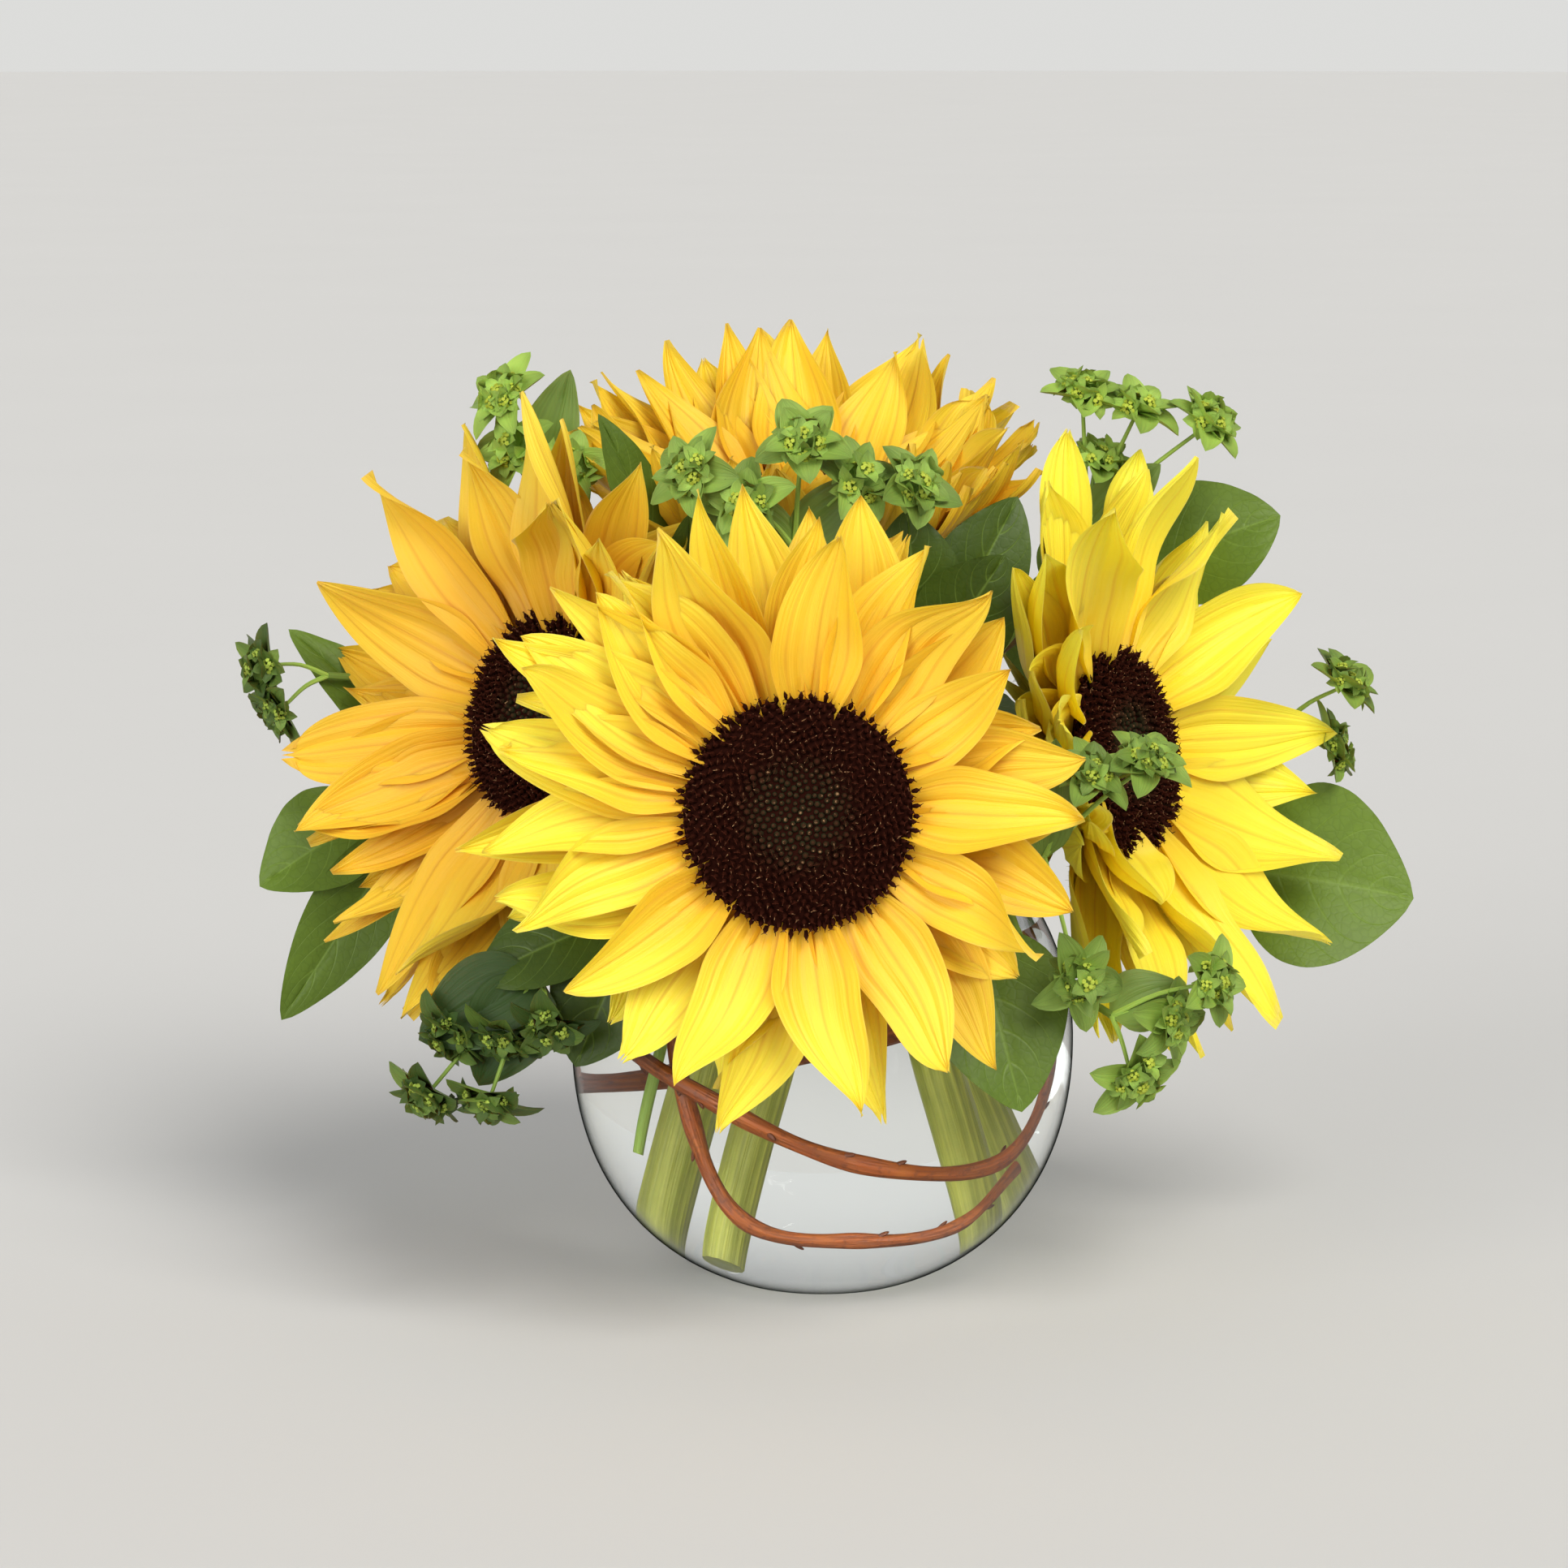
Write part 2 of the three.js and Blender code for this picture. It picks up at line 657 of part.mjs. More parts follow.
// Green cup behind the bloom, with two rows of pointed bracts and the receptacle that the disc sits on.
function calyxSolid() {
  const { depth, cup, lowerRow, waist, upperRow, rim, seat } = CALYX;
  const receptacle = [[seat[0], rim[1]], seat, [0, seat[1]]];
  const profile = [[0, -depth], ...cup, lowerRow, waist, upperRow, rim, ...receptacle];
  const drawn = profile.map((point) => point.tip ?? point);
  return turned(drawn, CALYX.bracts * 2, (radius, height, ring, side) => {
    const { valley } = profile[ring];
    const pointed = side % 2 === (profile[ring] === lowerRow ? 0 : 1);
    return valley && !pointed ? valley : [radius, height];
  });
}

function stemCurve(flower) {
  const back = vector(flower.faces).normalize().negate();
  const neck = STEM.neck.map((d) => vector(flower.at).addScaledVector(back, d));
  return curveThrough([...flower.stem.map(vector), ...neck]);
}

function stemSolid(flower, room = 0) {
  const radiusAt = (t) => STEM.footRadius + (STEM.neckRadius - STEM.footRadius) * t;
  return tube({ curve: stemCurve(flower), radiusAt, sides: STEM.sides, stations: evenly(STEM.steps), room });
}

function addSunflower(parent, flower) {
  const frame = bloomFrame(flower);
  const head = new THREE.Group();
  head.applyMatrix4(frame);
  addMesh(head, `${flower.name}_sunflower_petals`, petalsSolid(flower), "petals");
  addMesh(head, `${flower.name}_sunflower_disc`, discSolid(flower), "disc");
  parent.add(head);
  const stem = stemSolid(flower).add(calyxSolid().transform(frame.elements));
  addMesh(parent, `${flower.name}_sunflower_stem`, stem, "stem");
}

// ---- Willow, salal and bupleurum ----------------------------------------------------------------------

// A knobbly twig, thicker at each second ring and thinner toward its far end.
function willowSolid(points, room = 0) {
  const steps = (points.length - 1) * WILLOW.stepsPerBend;
  const radiusAt = (t) => {
    const knob = Math.round(t * steps) % 2 ? -WILLOW.knob : WILLOW.knob;
    return WILLOW.radius * (1 - WILLOW.taper * t) * (1 + knob);
  };
  const curve = curveThrough(points.map(vector));
  return tube({ curve, radiusAt, sides: WILLOW.sides, stations: evenly(steps), room });
}

// A thin stem's curve: an upright foot in the water, then its course over the lip.
function courseOf(spray) {
  const r = BOWL.mouthRadius - BOWL.wall - THIN_STEM.inset;
  const [x, y] = [r * Math.cos(radians(spray.bearing)), r * Math.sin(radians(spray.bearing))];
  const foot = spray.foot ?? [x, y, THIN_STEM.foot];
  const upright = [WATER.level + THIN_STEM.straight, mouthHeight].map((z) => [x, y, z]);
  return curveThrough([foot, ...upright, ...spray.course].map(vector));
}

// The foot and the lip take one step each, because they are nearly straight, and each later bend takes two.
function twigSolid(spray, room = 0) {
  const bends = spray.course.length + 2;
  const stations = evenly(bends * 2).filter((_, i) => i !== 1 && i !== 3);
  const radiusAt = (t) => TWIG.radius + (TWIG.tipRadius - TWIG.radius) * t;
  return tube({ curve: courseOf(spray), radiusAt, sides: TWIG.sides, stations, room });
}

// An ovate leaf on a short stalk, arched between its root and its tip.
function leafSolid(root, { tip, breadth, faces }) {
  const end = vector(tip);
  const up = vector(faces).normalize();
  const rise = root.distanceTo(end) * LEAF.arch;
  const middle = root.clone().lerp(end, 0.5).addScaledVector(up, rise);
  const arc = new THREE.QuadraticBezierCurve3(root, middle, end);
  const spine = (t) => {
    const along = arc.getTangent(t);
    const face = up.clone().addScaledVector(along, -up.dot(along)).normalize();
    return { at: arc.getPoint(t), along, face };
  };
  const halfWidth = (t) => {
    const s = Math.max(0, (t - LEAF.stalk) / (1 - LEAF.stalk));
    return LEAF.petiole * (1 - s) + (breadth / 2) * Math.sin(Math.PI * s ** LEAF.broadLow) ** LEAF.fullness;
  };
  return blade({ spine, halfWidth, thickness: LEAF.thickness, fold: LEAF.fold, steps: LEAF.steps });
}

function salalSolid(spray) {
  const curve = courseOf(spray);
  const leaves = spray.leaves.map((leaf) => leafSolid(curve.getPoint(leaf.from), leaf));
  return fuse([twigSolid(spray), ...leaves]);
}

// A head of bupleurum: pointed bracts in a ring round a small knob of florets, on a ray of its own.
function rosetteSolid(fork, head, turn) {
  const at = vector(head);
  const outward = at.clone().sub(BOUQUET_HEART).normalize();
  const faces = at.clone().sub(fork).normalize().add(outward).add(TOWARD_VIEWER).normalize();
  const frame = new THREE.Matrix4().lookAt(faces, new THREE.Vector3(), UP).setPosition(at);
  const { radius, valley, cup, curl, knob, top, under, bracts } = ROSETTE;
  const star = turned([[0, under], [radius, 0], knob, [0, top]], bracts * 2, (r, z, ring, side) => {
    const reach = side % 2 ? valley : radius;
    return ring === 1 ? [reach, cup * reach * (1 - reach / curl)] : [r, z];
  });
  const line = new THREE.LineCurve3(fork, at);
  const ray = tube({ curve: line, radiusAt: () => ROSETTE.ray, sides: 3, stations: [0, 1] });
  return star.rotate(0, 0, turn).transform(frame.elements).add(ray);
}

function bupleurumSolid(spray) {
  const fork = courseOf(spray).getPoint(1);
  const leaves = spray.leaves.map((leaf) => leafSolid(fork, leaf));
  const heads = spray.heads.map((head, i) => rosetteSolid(fork, head, i * ROSETTE.turn));
  return fuse([twigSolid(spray), ...leaves, ...heads]);
}

// ---- Export -------------------------------------------------------------------------------------------

const bouquet = new THREE.Group();
addMesh(bouquet, "bowl", bowlSolid(), "bowl");
const holes = [
  ...SUNFLOWERS.map((flower) => stemSolid(flower, STEM_CLEARANCE)),
  ...WILLOWS.map((points) => willowSolid(points, STEM_CLEARANCE)),
  ...[...SALAL, ...BUPLEURUM].map((spray) => twigSolid(spray, STEM_CLEARANCE)),
];
addMesh(bouquet, "water", waterSolid(holes), "water");
for (const flower of SUNFLOWERS) addSunflower(bouquet, flower);
WILLOWS.forEach((points, i) => addMesh(bouquet, `willow_${i + 1}`, willowSolid(points), "willow"));
SALAL.forEach((spray, i) => addMesh(bouquet, `salal_${i + 1}`, salalSolid(spray), "salal"));
BUPLEURUM.forEach((spray, i) => addMesh(bouquet, `bupleurum_${i + 1}`, bupleurumSolid(spray), "bupleurum"));

export default bouquet;
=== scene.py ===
"""Sunflowers, leafy sprays and curly willow in a round glass bowl of water.

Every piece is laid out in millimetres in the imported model's frame, and becomes metres when it is finished.
"""

from __future__ import annotations

import logging
import math
from collections.abc import Callable, Sequence
from dataclasses import dataclass, field
from enum import Enum, IntEnum

import bmesh
import bpy
from mathutils import Matrix, Quaternion, Vector

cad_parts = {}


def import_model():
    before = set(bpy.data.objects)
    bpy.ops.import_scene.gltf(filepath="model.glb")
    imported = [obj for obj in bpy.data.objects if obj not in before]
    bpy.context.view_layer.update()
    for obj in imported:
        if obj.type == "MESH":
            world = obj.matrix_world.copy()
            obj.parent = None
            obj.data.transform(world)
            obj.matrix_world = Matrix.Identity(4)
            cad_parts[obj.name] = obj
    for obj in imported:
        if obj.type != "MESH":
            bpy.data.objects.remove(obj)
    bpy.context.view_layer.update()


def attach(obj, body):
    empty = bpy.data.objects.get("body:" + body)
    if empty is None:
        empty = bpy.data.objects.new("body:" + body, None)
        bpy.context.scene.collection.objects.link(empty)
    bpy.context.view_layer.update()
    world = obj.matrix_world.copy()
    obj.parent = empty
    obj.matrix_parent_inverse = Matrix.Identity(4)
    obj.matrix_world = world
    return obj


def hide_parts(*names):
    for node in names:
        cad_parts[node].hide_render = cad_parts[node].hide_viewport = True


log = logging.getLogger("bouquet")

MM = 0.001
TURN = 2 * math.pi
GOLDEN_ANGLE = math.radians(137.508)
UP = Vector((0, 0, 1))
ASIDE = Vector((0.3, 1, 0.2))  # not along any stem
BOUQUET_HEART = Vector((0, 20, 120))  # what the heads of the sprays turn away from
TOWARD_VIEWER = Vector((0, -0.6, 0.2))  # how strongly they turn to the front
LEAST_BEND = 1e-4  # in radians, stands in for a line that hardly bends or not at all
NEARBY = 1e-4  # how far to either side of a place on a curve its direction is taken
WELD = 1e-3  # points closer than this fall together
LATHE_WELD = 1e-4
BLADE_TAPER = 8  # a blade thins out over the first and the last eighth of its length
SHARP_ANGLE = math.radians(55)  # faces that meet at more than this have a sharp edge
VEIN_BOW = 1.35  # how strongly the side veins of a leaf curve, in its shape and in its finish
PETAL_ROOT = 20.5  # from the middle of the disc

Point = tuple[float, float, float]
Colour = tuple[float, float, float]
Chance = tuple[float, float]  # the least that a number can be, and how much chance adds at most
Place = Callable[[float, float], Vector]
Surface = Callable[[float, float], tuple[Vector, Vector]]  # point and facing, for u across and t along


class Stream(IntEnum):
    """What each stream of chance lays out, and what that adds to a seed."""

    WILLOW = 60
    PETAL_FORMS = 90
    SALAL = 200
    BUPLEURUM = 300
    FURTHER_PETALS = 400
    FLORETS = 500
    CALYX = 700
    STEM_HAIRS = 800


def smoothstep(value: float, low: float, high: float) -> float:
    """Climbs smoothly from 0 at low to 1 at high."""
    s = min(1.0, max(0.0, (value - low) / (high - low)))
    return s * s * (3 - 2 * s)


class Draw:
    """A repeatable stream of numbers from 0 to 1, the one that the solids are laid out with."""

    SEED_STEP = 48271
    SEED_SHIFT = 11
    MULTIPLIER = 16807
    MODULUS = 2**31 - 1

    def __init__(self, seed: int) -> None:
        """Starts the stream at a seed."""
        self.state = seed * self.SEED_STEP + self.SEED_SHIFT

    def __call__(self) -> float:
        """Gives the next number."""
        self.state = self.state * self.MULTIPLIER % self.MODULUS
        return self.state / self.MODULUS

    def about(self, middle: float, spread: float) -> float:
        """Gives a number within half of spread on either side of middle."""
        return middle + spread * (self() - 0.5)

    def span(self, least: float, more: float) -> float:
        """Gives a number from least to least plus more."""
        return least + more * self()


class Course:
    """A smooth curve through points, as stems and twigs follow it."""

    def __init__(self, points: Sequence[Vector | Point]) -> None:
        """Keeps the points that the curve goes through."""
        self.points = [Vector(p) for p in points]

    def at(self, t: float) -> Vector:
        """Gives the point at t, from 0 to 1 along the curve.

        Args:
            t: the place along the curve, in equal shares for each pair of points.

        Returns:
            The point in millimetres.
        """
        pts, last = self.points, len(self.points) - 1
        i = min(int(last * t), last - 1)
        w = last * t - i
        before = pts[i - 1] if i > 0 else 2 * pts[0] - pts[1]
        after = pts[i + 2] if i + 2 <= last else 2 * pts[last] - pts[last - 1]
        p0, p1, p2, p3 = before, pts[i], pts[i + 1], after
        d0, d1, d2 = (math.sqrt((b - a).length) for a, b in ((p0, p1), (p1, p2), (p2, p3)))
        m1 = ((p1 - p0) / d0 - (p2 - p0) / (d0 + d1) + (p2 - p1) / d1) * d1
        m2 = ((p2 - p1) / d1 - (p3 - p1) / (d1 + d2) + (p3 - p2) / d2) * d1
        bend = -3 * p1 + 3 * p2 - 2 * m1 - m2
        return p1 + m1 * w + bend * w * w + (2 * p1 - 2 * p2 + m1 + m2) * w**3

    def along(self, t: float) -> Vector:
        """Gives the direction of the curve at t."""
        return (self.at(min(1, t + NEARBY)) - self.at(max(0, t - NEARBY))).normalized()


@dataclass(frozen=True)
class Ring:
    """One cross-section's place on a stem: its middle, its direction and two directions across it."""

    t: float
    at: Vector
    along: Vector
    across: Vector
    other: Vector

    def outward(self, angle: float) -> Vector:
        """The direction away from the stem's middle at an angle round it."""
        return self.across * math.cos(angle) + self.other * math.sin(angle)


def facing_frame(at: Vector | Point, facing: Vector) -> Matrix:
    """Gives the frame at a point: Z the way it faces, X to its right as it is looked at."""
    x = UP.cross(facing).normalized()
    turn = Matrix((x, facing.cross(x), facing)).transposed().to_4x4()
    return Matrix.Translation(at) @ turn


def put(name: str, data: bpy.types.ID) -> bpy.types.Object:
    """Puts an object into the scene."""
    made = bpy.data.objects.new(name, data)
    bpy.context.scene.collection.objects.link(made)
    return made


def rings_along(course: Course, steps: int) -> list[Ring]:
    """Lays rings along a course without twisting them.

    Args:
        course: the curve that the rings follow.
        steps: how many stretches there are between the rings.

    Returns:
        The rings from the start of the course to its end.
    """
    rings: list[Ring] = []
    for i in range(steps + 1):
        t = i / steps
        along = course.along(t)
        if rings:
            bend = rings[-1].along.rotation_difference(along)
            across = bend @ rings[-1].across
        else:
            across = ASIDE.cross(along).normalized()
        rings.append(Ring(t, course.at(t), along, across, along.cross(across)))
    return rings


@dataclass(frozen=True)
class Station:
    """A place on the middle line of a petal, bract or leaf."""

    at: Vector
    along: Vector
    face: Vector

    @property
    def side(self) -> Vector:
        """The direction across the blade."""
        return self.along.cross(self.face).normalized()


class Workpiece:
    """A mesh in the making, with a UV map and two values on its points.

    tone tells one petal, leaf or floret from the next, and on petals, leaves and bracts it also carries
    painted light and shade. tip is 0 on the main part and 1 on what the finish treats apart, such as the end
    of a floret or the wood between leaves.
    """

    def __init__(self) -> None:
        """Starts with an empty mesh."""
        self.bm = bmesh.new()
        self.uv = self.bm.loops.layers.uv.new("UVMap")
        self.tone = self.bm.verts.layers.float.new("tone")
        self.tip = self.bm.verts.layers.float.new("tip")

    def mark(self, verts: Sequence[bmesh.types.BMVert], tone: float, tip: float) -> None:
        """Gives points their values of tone and tip."""
        for vert in verts:
            vert[self.tone] = tone
            vert[self.tip] = tip

    def sheet(
        self, across: int, along: int, place: Place, tone: float, tip: float = 0.0
    ) -> list[bmesh.types.BMVert]:
        """Bends a grid into shape.

        Args:
            across: segments over its width.
            along: segments over its length.
            place: gives the point for a share of the width and a share of the length, each from 0 to 1.
            tone: value of tone on its points.
            tip: value of tip on its points.

        Returns:
            The new points that are left once those that fell together are merged.
        """
        grid = bmesh.ops.create_grid(self.bm, x_segments=across, y_segments=along, size=0.5, calc_uvs=True)
        self.mark(grid["verts"], tone, tip)
        for vert in grid["verts"]:
            vert.co = place(vert.co.x + 0.5, vert.co.y + 0.5)
        bmesh.ops.remove_doubles(self.bm, verts=grid["verts"], dist=WELD)
        return [vert for vert in grid["verts"] if vert.is_valid]

    def blade(self, across: int, along: int, surface: Surface, thickness: float, tone: float) -> None:
        """Adds a closed thin blade whose two skins meet at its edges and ends.

        Args:
            across: segments over its width.
            along: segments over its length.
            surface: gives the point and the facing for u, from -1 to 1 across, and t, from 0 to 1 along.
            thickness: thickness in its middle.
            tone: value of tone on its points.
        """

        def place(s: float, t: float) -> Vector:
            top = s <= 0.5
            u = 4 * s - 1 if top else 3 - 4 * s
            point, face = surface(u, t)
            body = min(1.0, BLADE_TAPER * t, BLADE_TAPER * (1 - t)) * math.sqrt(max(0.0, 1 - u * u))
            return point + face * (thickness / 2 * body * (1 if top else -1))

        verts = self.sheet(2 * across, along, place, tone)
        for loop in {loop for vert in verts for loop in vert.link_loops}:
            s = loop[self.uv].uv.x
            loop[self.uv].uv.x = 2 * s if s <= 0.5 else 2 - 2 * s

    def tube(
        self,
        rings: Sequence[Ring],
        sides: int,
        radius: Callable[[float, float], float],
        tone: float,
        tip: float = 0.0,
        end_tip: float | None = None,
    ) -> None:
        """Adds a closed round stem.

        Args:
            rings: the cross-sections to follow.
            sides: segments round it.
            radius: gives the radius for t along the stem and an angle round it.
            tone: value of tone on its points.
            tip: value of tip on its points.
            end_tip: value of tip in the middle of its cut ends.
        """

        def place(s: float, t: float) -> Vector:
            ring = rings[round(t * (len(rings) - 1))]
            angle = s * TURN
            reach = radius(ring.t, angle)
            return ring.at + ring.across * (reach * math.cos(angle)) + ring.other * (reach * math.sin(angle))

        verts = self.sheet(sides, len(rings) - 1, place, tone, tip)
        rims = {edge for vert in verts for edge in vert.link_edges if edge.is_boundary}
        caps = bmesh.ops.holes_fill(self.bm, edges=list(rims), sides=0)["faces"]
        middles = bmesh.ops.poke(self.bm, faces=caps)["verts"]
        self.mark(middles, tone, tip if end_tip is None else end_tip)

    def lathe(self, profile: Sequence[tuple[float, float]], steps: int, tone: float = 0.5) -> None:
        """Spins radius and height pairs round the vertical axis into a closed solid."""
        verts = [self.bm.verts.new((r, 0, z)) for r, z in profile]
        edges = [self.bm.edges.new(pair) for pair in zip(verts, verts[1:])]
        before = set(self.bm.verts) - set(verts)
        bmesh.ops.spin(self.bm, geom=verts + edges, axis=UP, angle=TURN, steps=steps, use_merge=True)
        made = [vert for vert in self.bm.verts if vert not in before]
        bmesh.ops.remove_doubles(self.bm, verts=made, dist=LATHE_WELD)
        made = [vert for vert in made if vert.is_valid]
        faces = {face for vert in made for face in vert.link_faces}
        bmesh.ops.recalc_face_normals(self.bm, faces=list(faces))
        self.mark(made, tone, 0.0)

    def cone(
        self, segments: int, low: float, high: float, depth: float, matrix: Matrix
    ) -> list[bmesh.types.BMVert]:
        """Adds a closed cone.

        Args:
            segments: how many there are round it.
            low: radius of its lower end.
            high: radius of its upper end.
            depth: its length.
            matrix: where its middle is and how it is turned.

        Returns:
            Its points.
        """
        made = bmesh.ops.create_cone(
            self.bm,
            cap_ends=True,
            cap_tris=True,
            segments=segments,
            radius1=low,
            radius2=high,
            depth=depth,
            matrix=matrix,
        )
        return made["verts"]

    def stamp(self, pattern: bpy.types.Mesh, matrix: Matrix, tone: float | None = None) -> None:
        """Adds a copy of a small mesh, placed by a matrix, with its own tone if one is given."""
        copy = pattern.copy()
        copy.transform(matrix)
        if tone is not None:
            copy.attributes["tone"].data.foreach_set("value", [tone] * len(copy.vertices))
        self.bm.from_mesh(copy)
        bpy.data.meshes.remove(copy)

    def pattern(self, name: str) -> bpy.types.Mesh:
        """Turns the mesh into a pattern to stamp with."""
        mesh = bpy.data.meshes.new(name)
        self.bm.to_mesh(mesh)
        self.bm.free()
        return mesh

    def finish(
        self, name: str, nodes: Sequence[str], slot: str, material: bpy.types.Material
    ) -> bpy.types.Object:
        """Makes the mesh a piece of the bouquet.

        Args:
            name: name of the piece.
            nodes: the solids that it stands for.
            slot: the record's material slot; not used.
            material: its finish.

        Returns:
            The finished object, riding on the root.
        """
        self.bm.transform(Matrix.Scale(MM, 4))
        for face in self.bm.faces:
            face.smooth = True
        mesh = self.pattern(name)
        mesh.set_sharp_from_angle(angle=SHARP_ANGLE)
        mesh.materials.append(material)
        piece = put(name, mesh)
        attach(piece, "root")
        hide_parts(*nodes)
        log.info("%s: %d faces", name, len(mesh.polygons))
        return piece


# ---- Finishes ------------------------------------------------------------------------------------------


class Graph:
    """Short names for the nodes and links of one node tree."""

    def __init__(self, tree: bpy.types.NodeTree) -> None:
        """Keeps the tree that nodes are added to."""
        self.tree = tree

    def node(self, kind: str, inputs: dict | None = None, **settings: object) -> bpy.types.Node:
        """Adds a node.

        Args:
            kind: its type, without ShaderNode.
            inputs: a number, colour or socket for each input, by name or place.
            settings: the node's own properties.

        Returns:
            The node.
        """
        made = self.tree.nodes.new("ShaderNode" + kind)
        for name, value in settings.items():
            setattr(made, name, value)
        for key, source in (inputs or {}).items():
            self.feed(made.inputs[key], source)
        return made

    def feed(self, socket: bpy.types.NodeSocket, source: object) -> None:
        """Links a socket to another, or sets its value."""
        if isinstance(source, bpy.types.NodeSocket):
            self.tree.links.new(source, socket)
        elif isinstance(source, tuple) and len(source) == 3 and socket.type == "RGBA":
            socket.default_value = (*source, 1)
        else:
            socket.default_value = source

    def math(self, operation: str, a: object, b: object = 0.0, clamp: bool = False) -> bpy.types.NodeSocket:
        """Adds a Math node and gives its output."""
        return self.node("Math", {0: a, 1: b}, operation=operation, use_clamp=clamp).outputs[0]

    def times(self, a: object, b: object, clamp: bool = False) -> bpy.types.NodeSocket:
        """Multiplies two numbers."""
        return self.math("MULTIPLY", a, b, clamp)

    def plus(self, a: object, b: object) -> bpy.types.NodeSocket:
        """Adds two numbers."""
        return self.math("ADD", a, b)

    def minus(self, a: object, b: object, clamp: bool = False) -> bpy.types.NodeSocket:
        """Takes one number from another."""
        return self.math("SUBTRACT", a, b, clamp)

    def mix(self, factor: object, a: object, b: object) -> bpy.types.NodeSocket:
        """Adds a colour mix and gives its output."""
        return self.node("Mix", {0: factor, 6: a, 7: b}, data_type="RGBA").outputs[2]

    def uv(self) -> bpy.types.NodeOutputs:
        """Gives the share of the width and the share of the length."""
        return self.node("SeparateXYZ", {0: self.node("UVMap", uv_map="UVMap").outputs[0]}).outputs

    def ramp(self, factor: object, stops: Sequence[tuple[float, Colour]]) -> bpy.types.NodeSocket:
        """Adds a colour ramp with the given stops and gives its colour."""
        made = self.node("ValToRGB", {0: factor})
        elements = made.color_ramp.elements
        while len(elements) < len(stops):
            elements.new(1.0)
        for element, (position, colour) in zip(elements, stops):
            element.position = position
            element.color = (*colour, 1)
        return made.outputs[0]

    def step(self, value: object, low: float, high: float) -> bpy.types.NodeSocket:
        """Adds a smooth climb from 0 at low to 1 at high and gives its output."""
        inputs = {"Value": value, "From Min": low, "From Max": high}
        return self.node("MapRange", inputs, interpolation_type="SMOOTHSTEP").outputs[0]


class Effect(Enum):
    """Surface effects that several finishes share."""

    BLOTCHES = "blotches"
    LINES = "lengthwise lines"
    VEINS = "feathered veins"

    def tree(self) -> bpy.types.NodeTree:
        """Gives the effect's node group, made the first time that it is asked for."""
        return bpy.data.node_groups.get(self.value) or getattr(self, "_" + self.name.lower())()

    def _group(
        self, outputs: Sequence[str], **inputs: float
    ) -> tuple[Graph, bpy.types.NodeOutputs, bpy.types.NodeInputs]:
        """Starts the effect's group.

        Args:
            outputs: names of the numbers that it gives.
            inputs: names and usual values of the numbers that it takes.

        Returns:
            The group's graph, the numbers that it takes and the ones that it gives.
        """
        tree = bpy.data.node_groups.new(self.value, "ShaderNodeTree")
        for name, value in inputs.items():
            socket = tree.interface.new_socket(name, in_out="INPUT", socket_type="NodeSocketFloat")
            socket.default_value = value
        for name in outputs:
            tree.interface.new_socket(name, in_out="OUTPUT", socket_type="NodeSocketFloat")
        taken, given = tree.nodes.new("NodeGroupInput"), tree.nodes.new("NodeGroupOutput")
        return Graph(tree), taken.outputs, given.inputs

    def _blotches(self) -> bpy.types.NodeTree:
        """Soft uneven patches all over a piece."""
        g, taken, given = self._group(["Patch"], Scale=60.0, Contrast=0.3)
        where = g.node("TexCoord").outputs["Object"]
        settings = {"Vector": where, "Scale": taken["Scale"], "Detail": 4.0, "Roughness": 0.6}
        noise = g.node("TexNoise", settings).outputs[0]
        low, high = g.minus(0.5, taken["Contrast"]), g.plus(0.5, taken["Contrast"])
        patch = g.node("MapRange", {"Value": noise, "From Min": low, "From Max": high})
        g.feed(given["Patch"], patch.outputs[0])
        return g.tree

    def _lines(self) -> bpy.types.NodeTree:
        """Fine uneven lines that run the length of a petal, stem or twig."""
        apart = 31.0  # so far apart in the noise that two tones share no line
        faint, full = 0.3, 0.7
        g, taken, given = self._group(["Line"], Lines=40.0, Length=2.0, Tone=0.0)
        uv = g.uv()
        x, y = g.times(uv[0], taken["Lines"]), g.times(uv[1], taken["Length"])
        where = g.node("CombineXYZ", {0: x, 1: y, 2: g.times(taken["Tone"], apart)}).outputs[0]
        noise = g.node("TexNoise", {"Vector": where, "Scale": 1.0, "Detail": 2.0})
        g.feed(given["Line"], g.step(noise.outputs[0], faint, full))
        return g.tree

    def _veins(self) -> bpy.types.NodeTree:
        """A midrib with side veins that slant and curve to the edge of a leaf."""
        midrib, side_strength, mesh_scale, mesh_fineness = 0.05, 0.7, 420.0, 6.0
        width_at_midrib = 1.15
        g, taken, given = self._group(["Vein", "Fine"], Pairs=7.0, Slant=2.4, Width=0.08)
        uv = g.uv()
        u = g.math("ABSOLUTE", g.times(g.minus(uv[0], 0.5), 2.0))
        bow = g.math("POWER", u, VEIN_BOW)
        run = g.minus(g.times(uv[1], taken["Pairs"]), g.times(bow, taken["Slant"]))
        gap = g.math("ABSOLUTE", g.minus(g.math("FRACT", run), 0.5))
        width = g.times(taken["Width"], g.minus(width_at_midrib, u))
        side = g.minus(1.0, g.math("DIVIDE", gap, width), clamp=True)
        middle = g.minus(1.0, g.math("DIVIDE", u, midrib), clamp=True)
        where = g.node("TexCoord").outputs["Object"]
        net = g.node("TexVoronoi", {"Vector": where, "Scale": mesh_scale}, feature="DISTANCE_TO_EDGE")
        g.feed(given["Vein"], g.math("MAXIMUM", g.times(side, side_strength), middle))
        g.feed(given["Fine"], g.minus(1.0, g.times(net.outputs[0], mesh_fineness), clamp=True))
        return g.tree


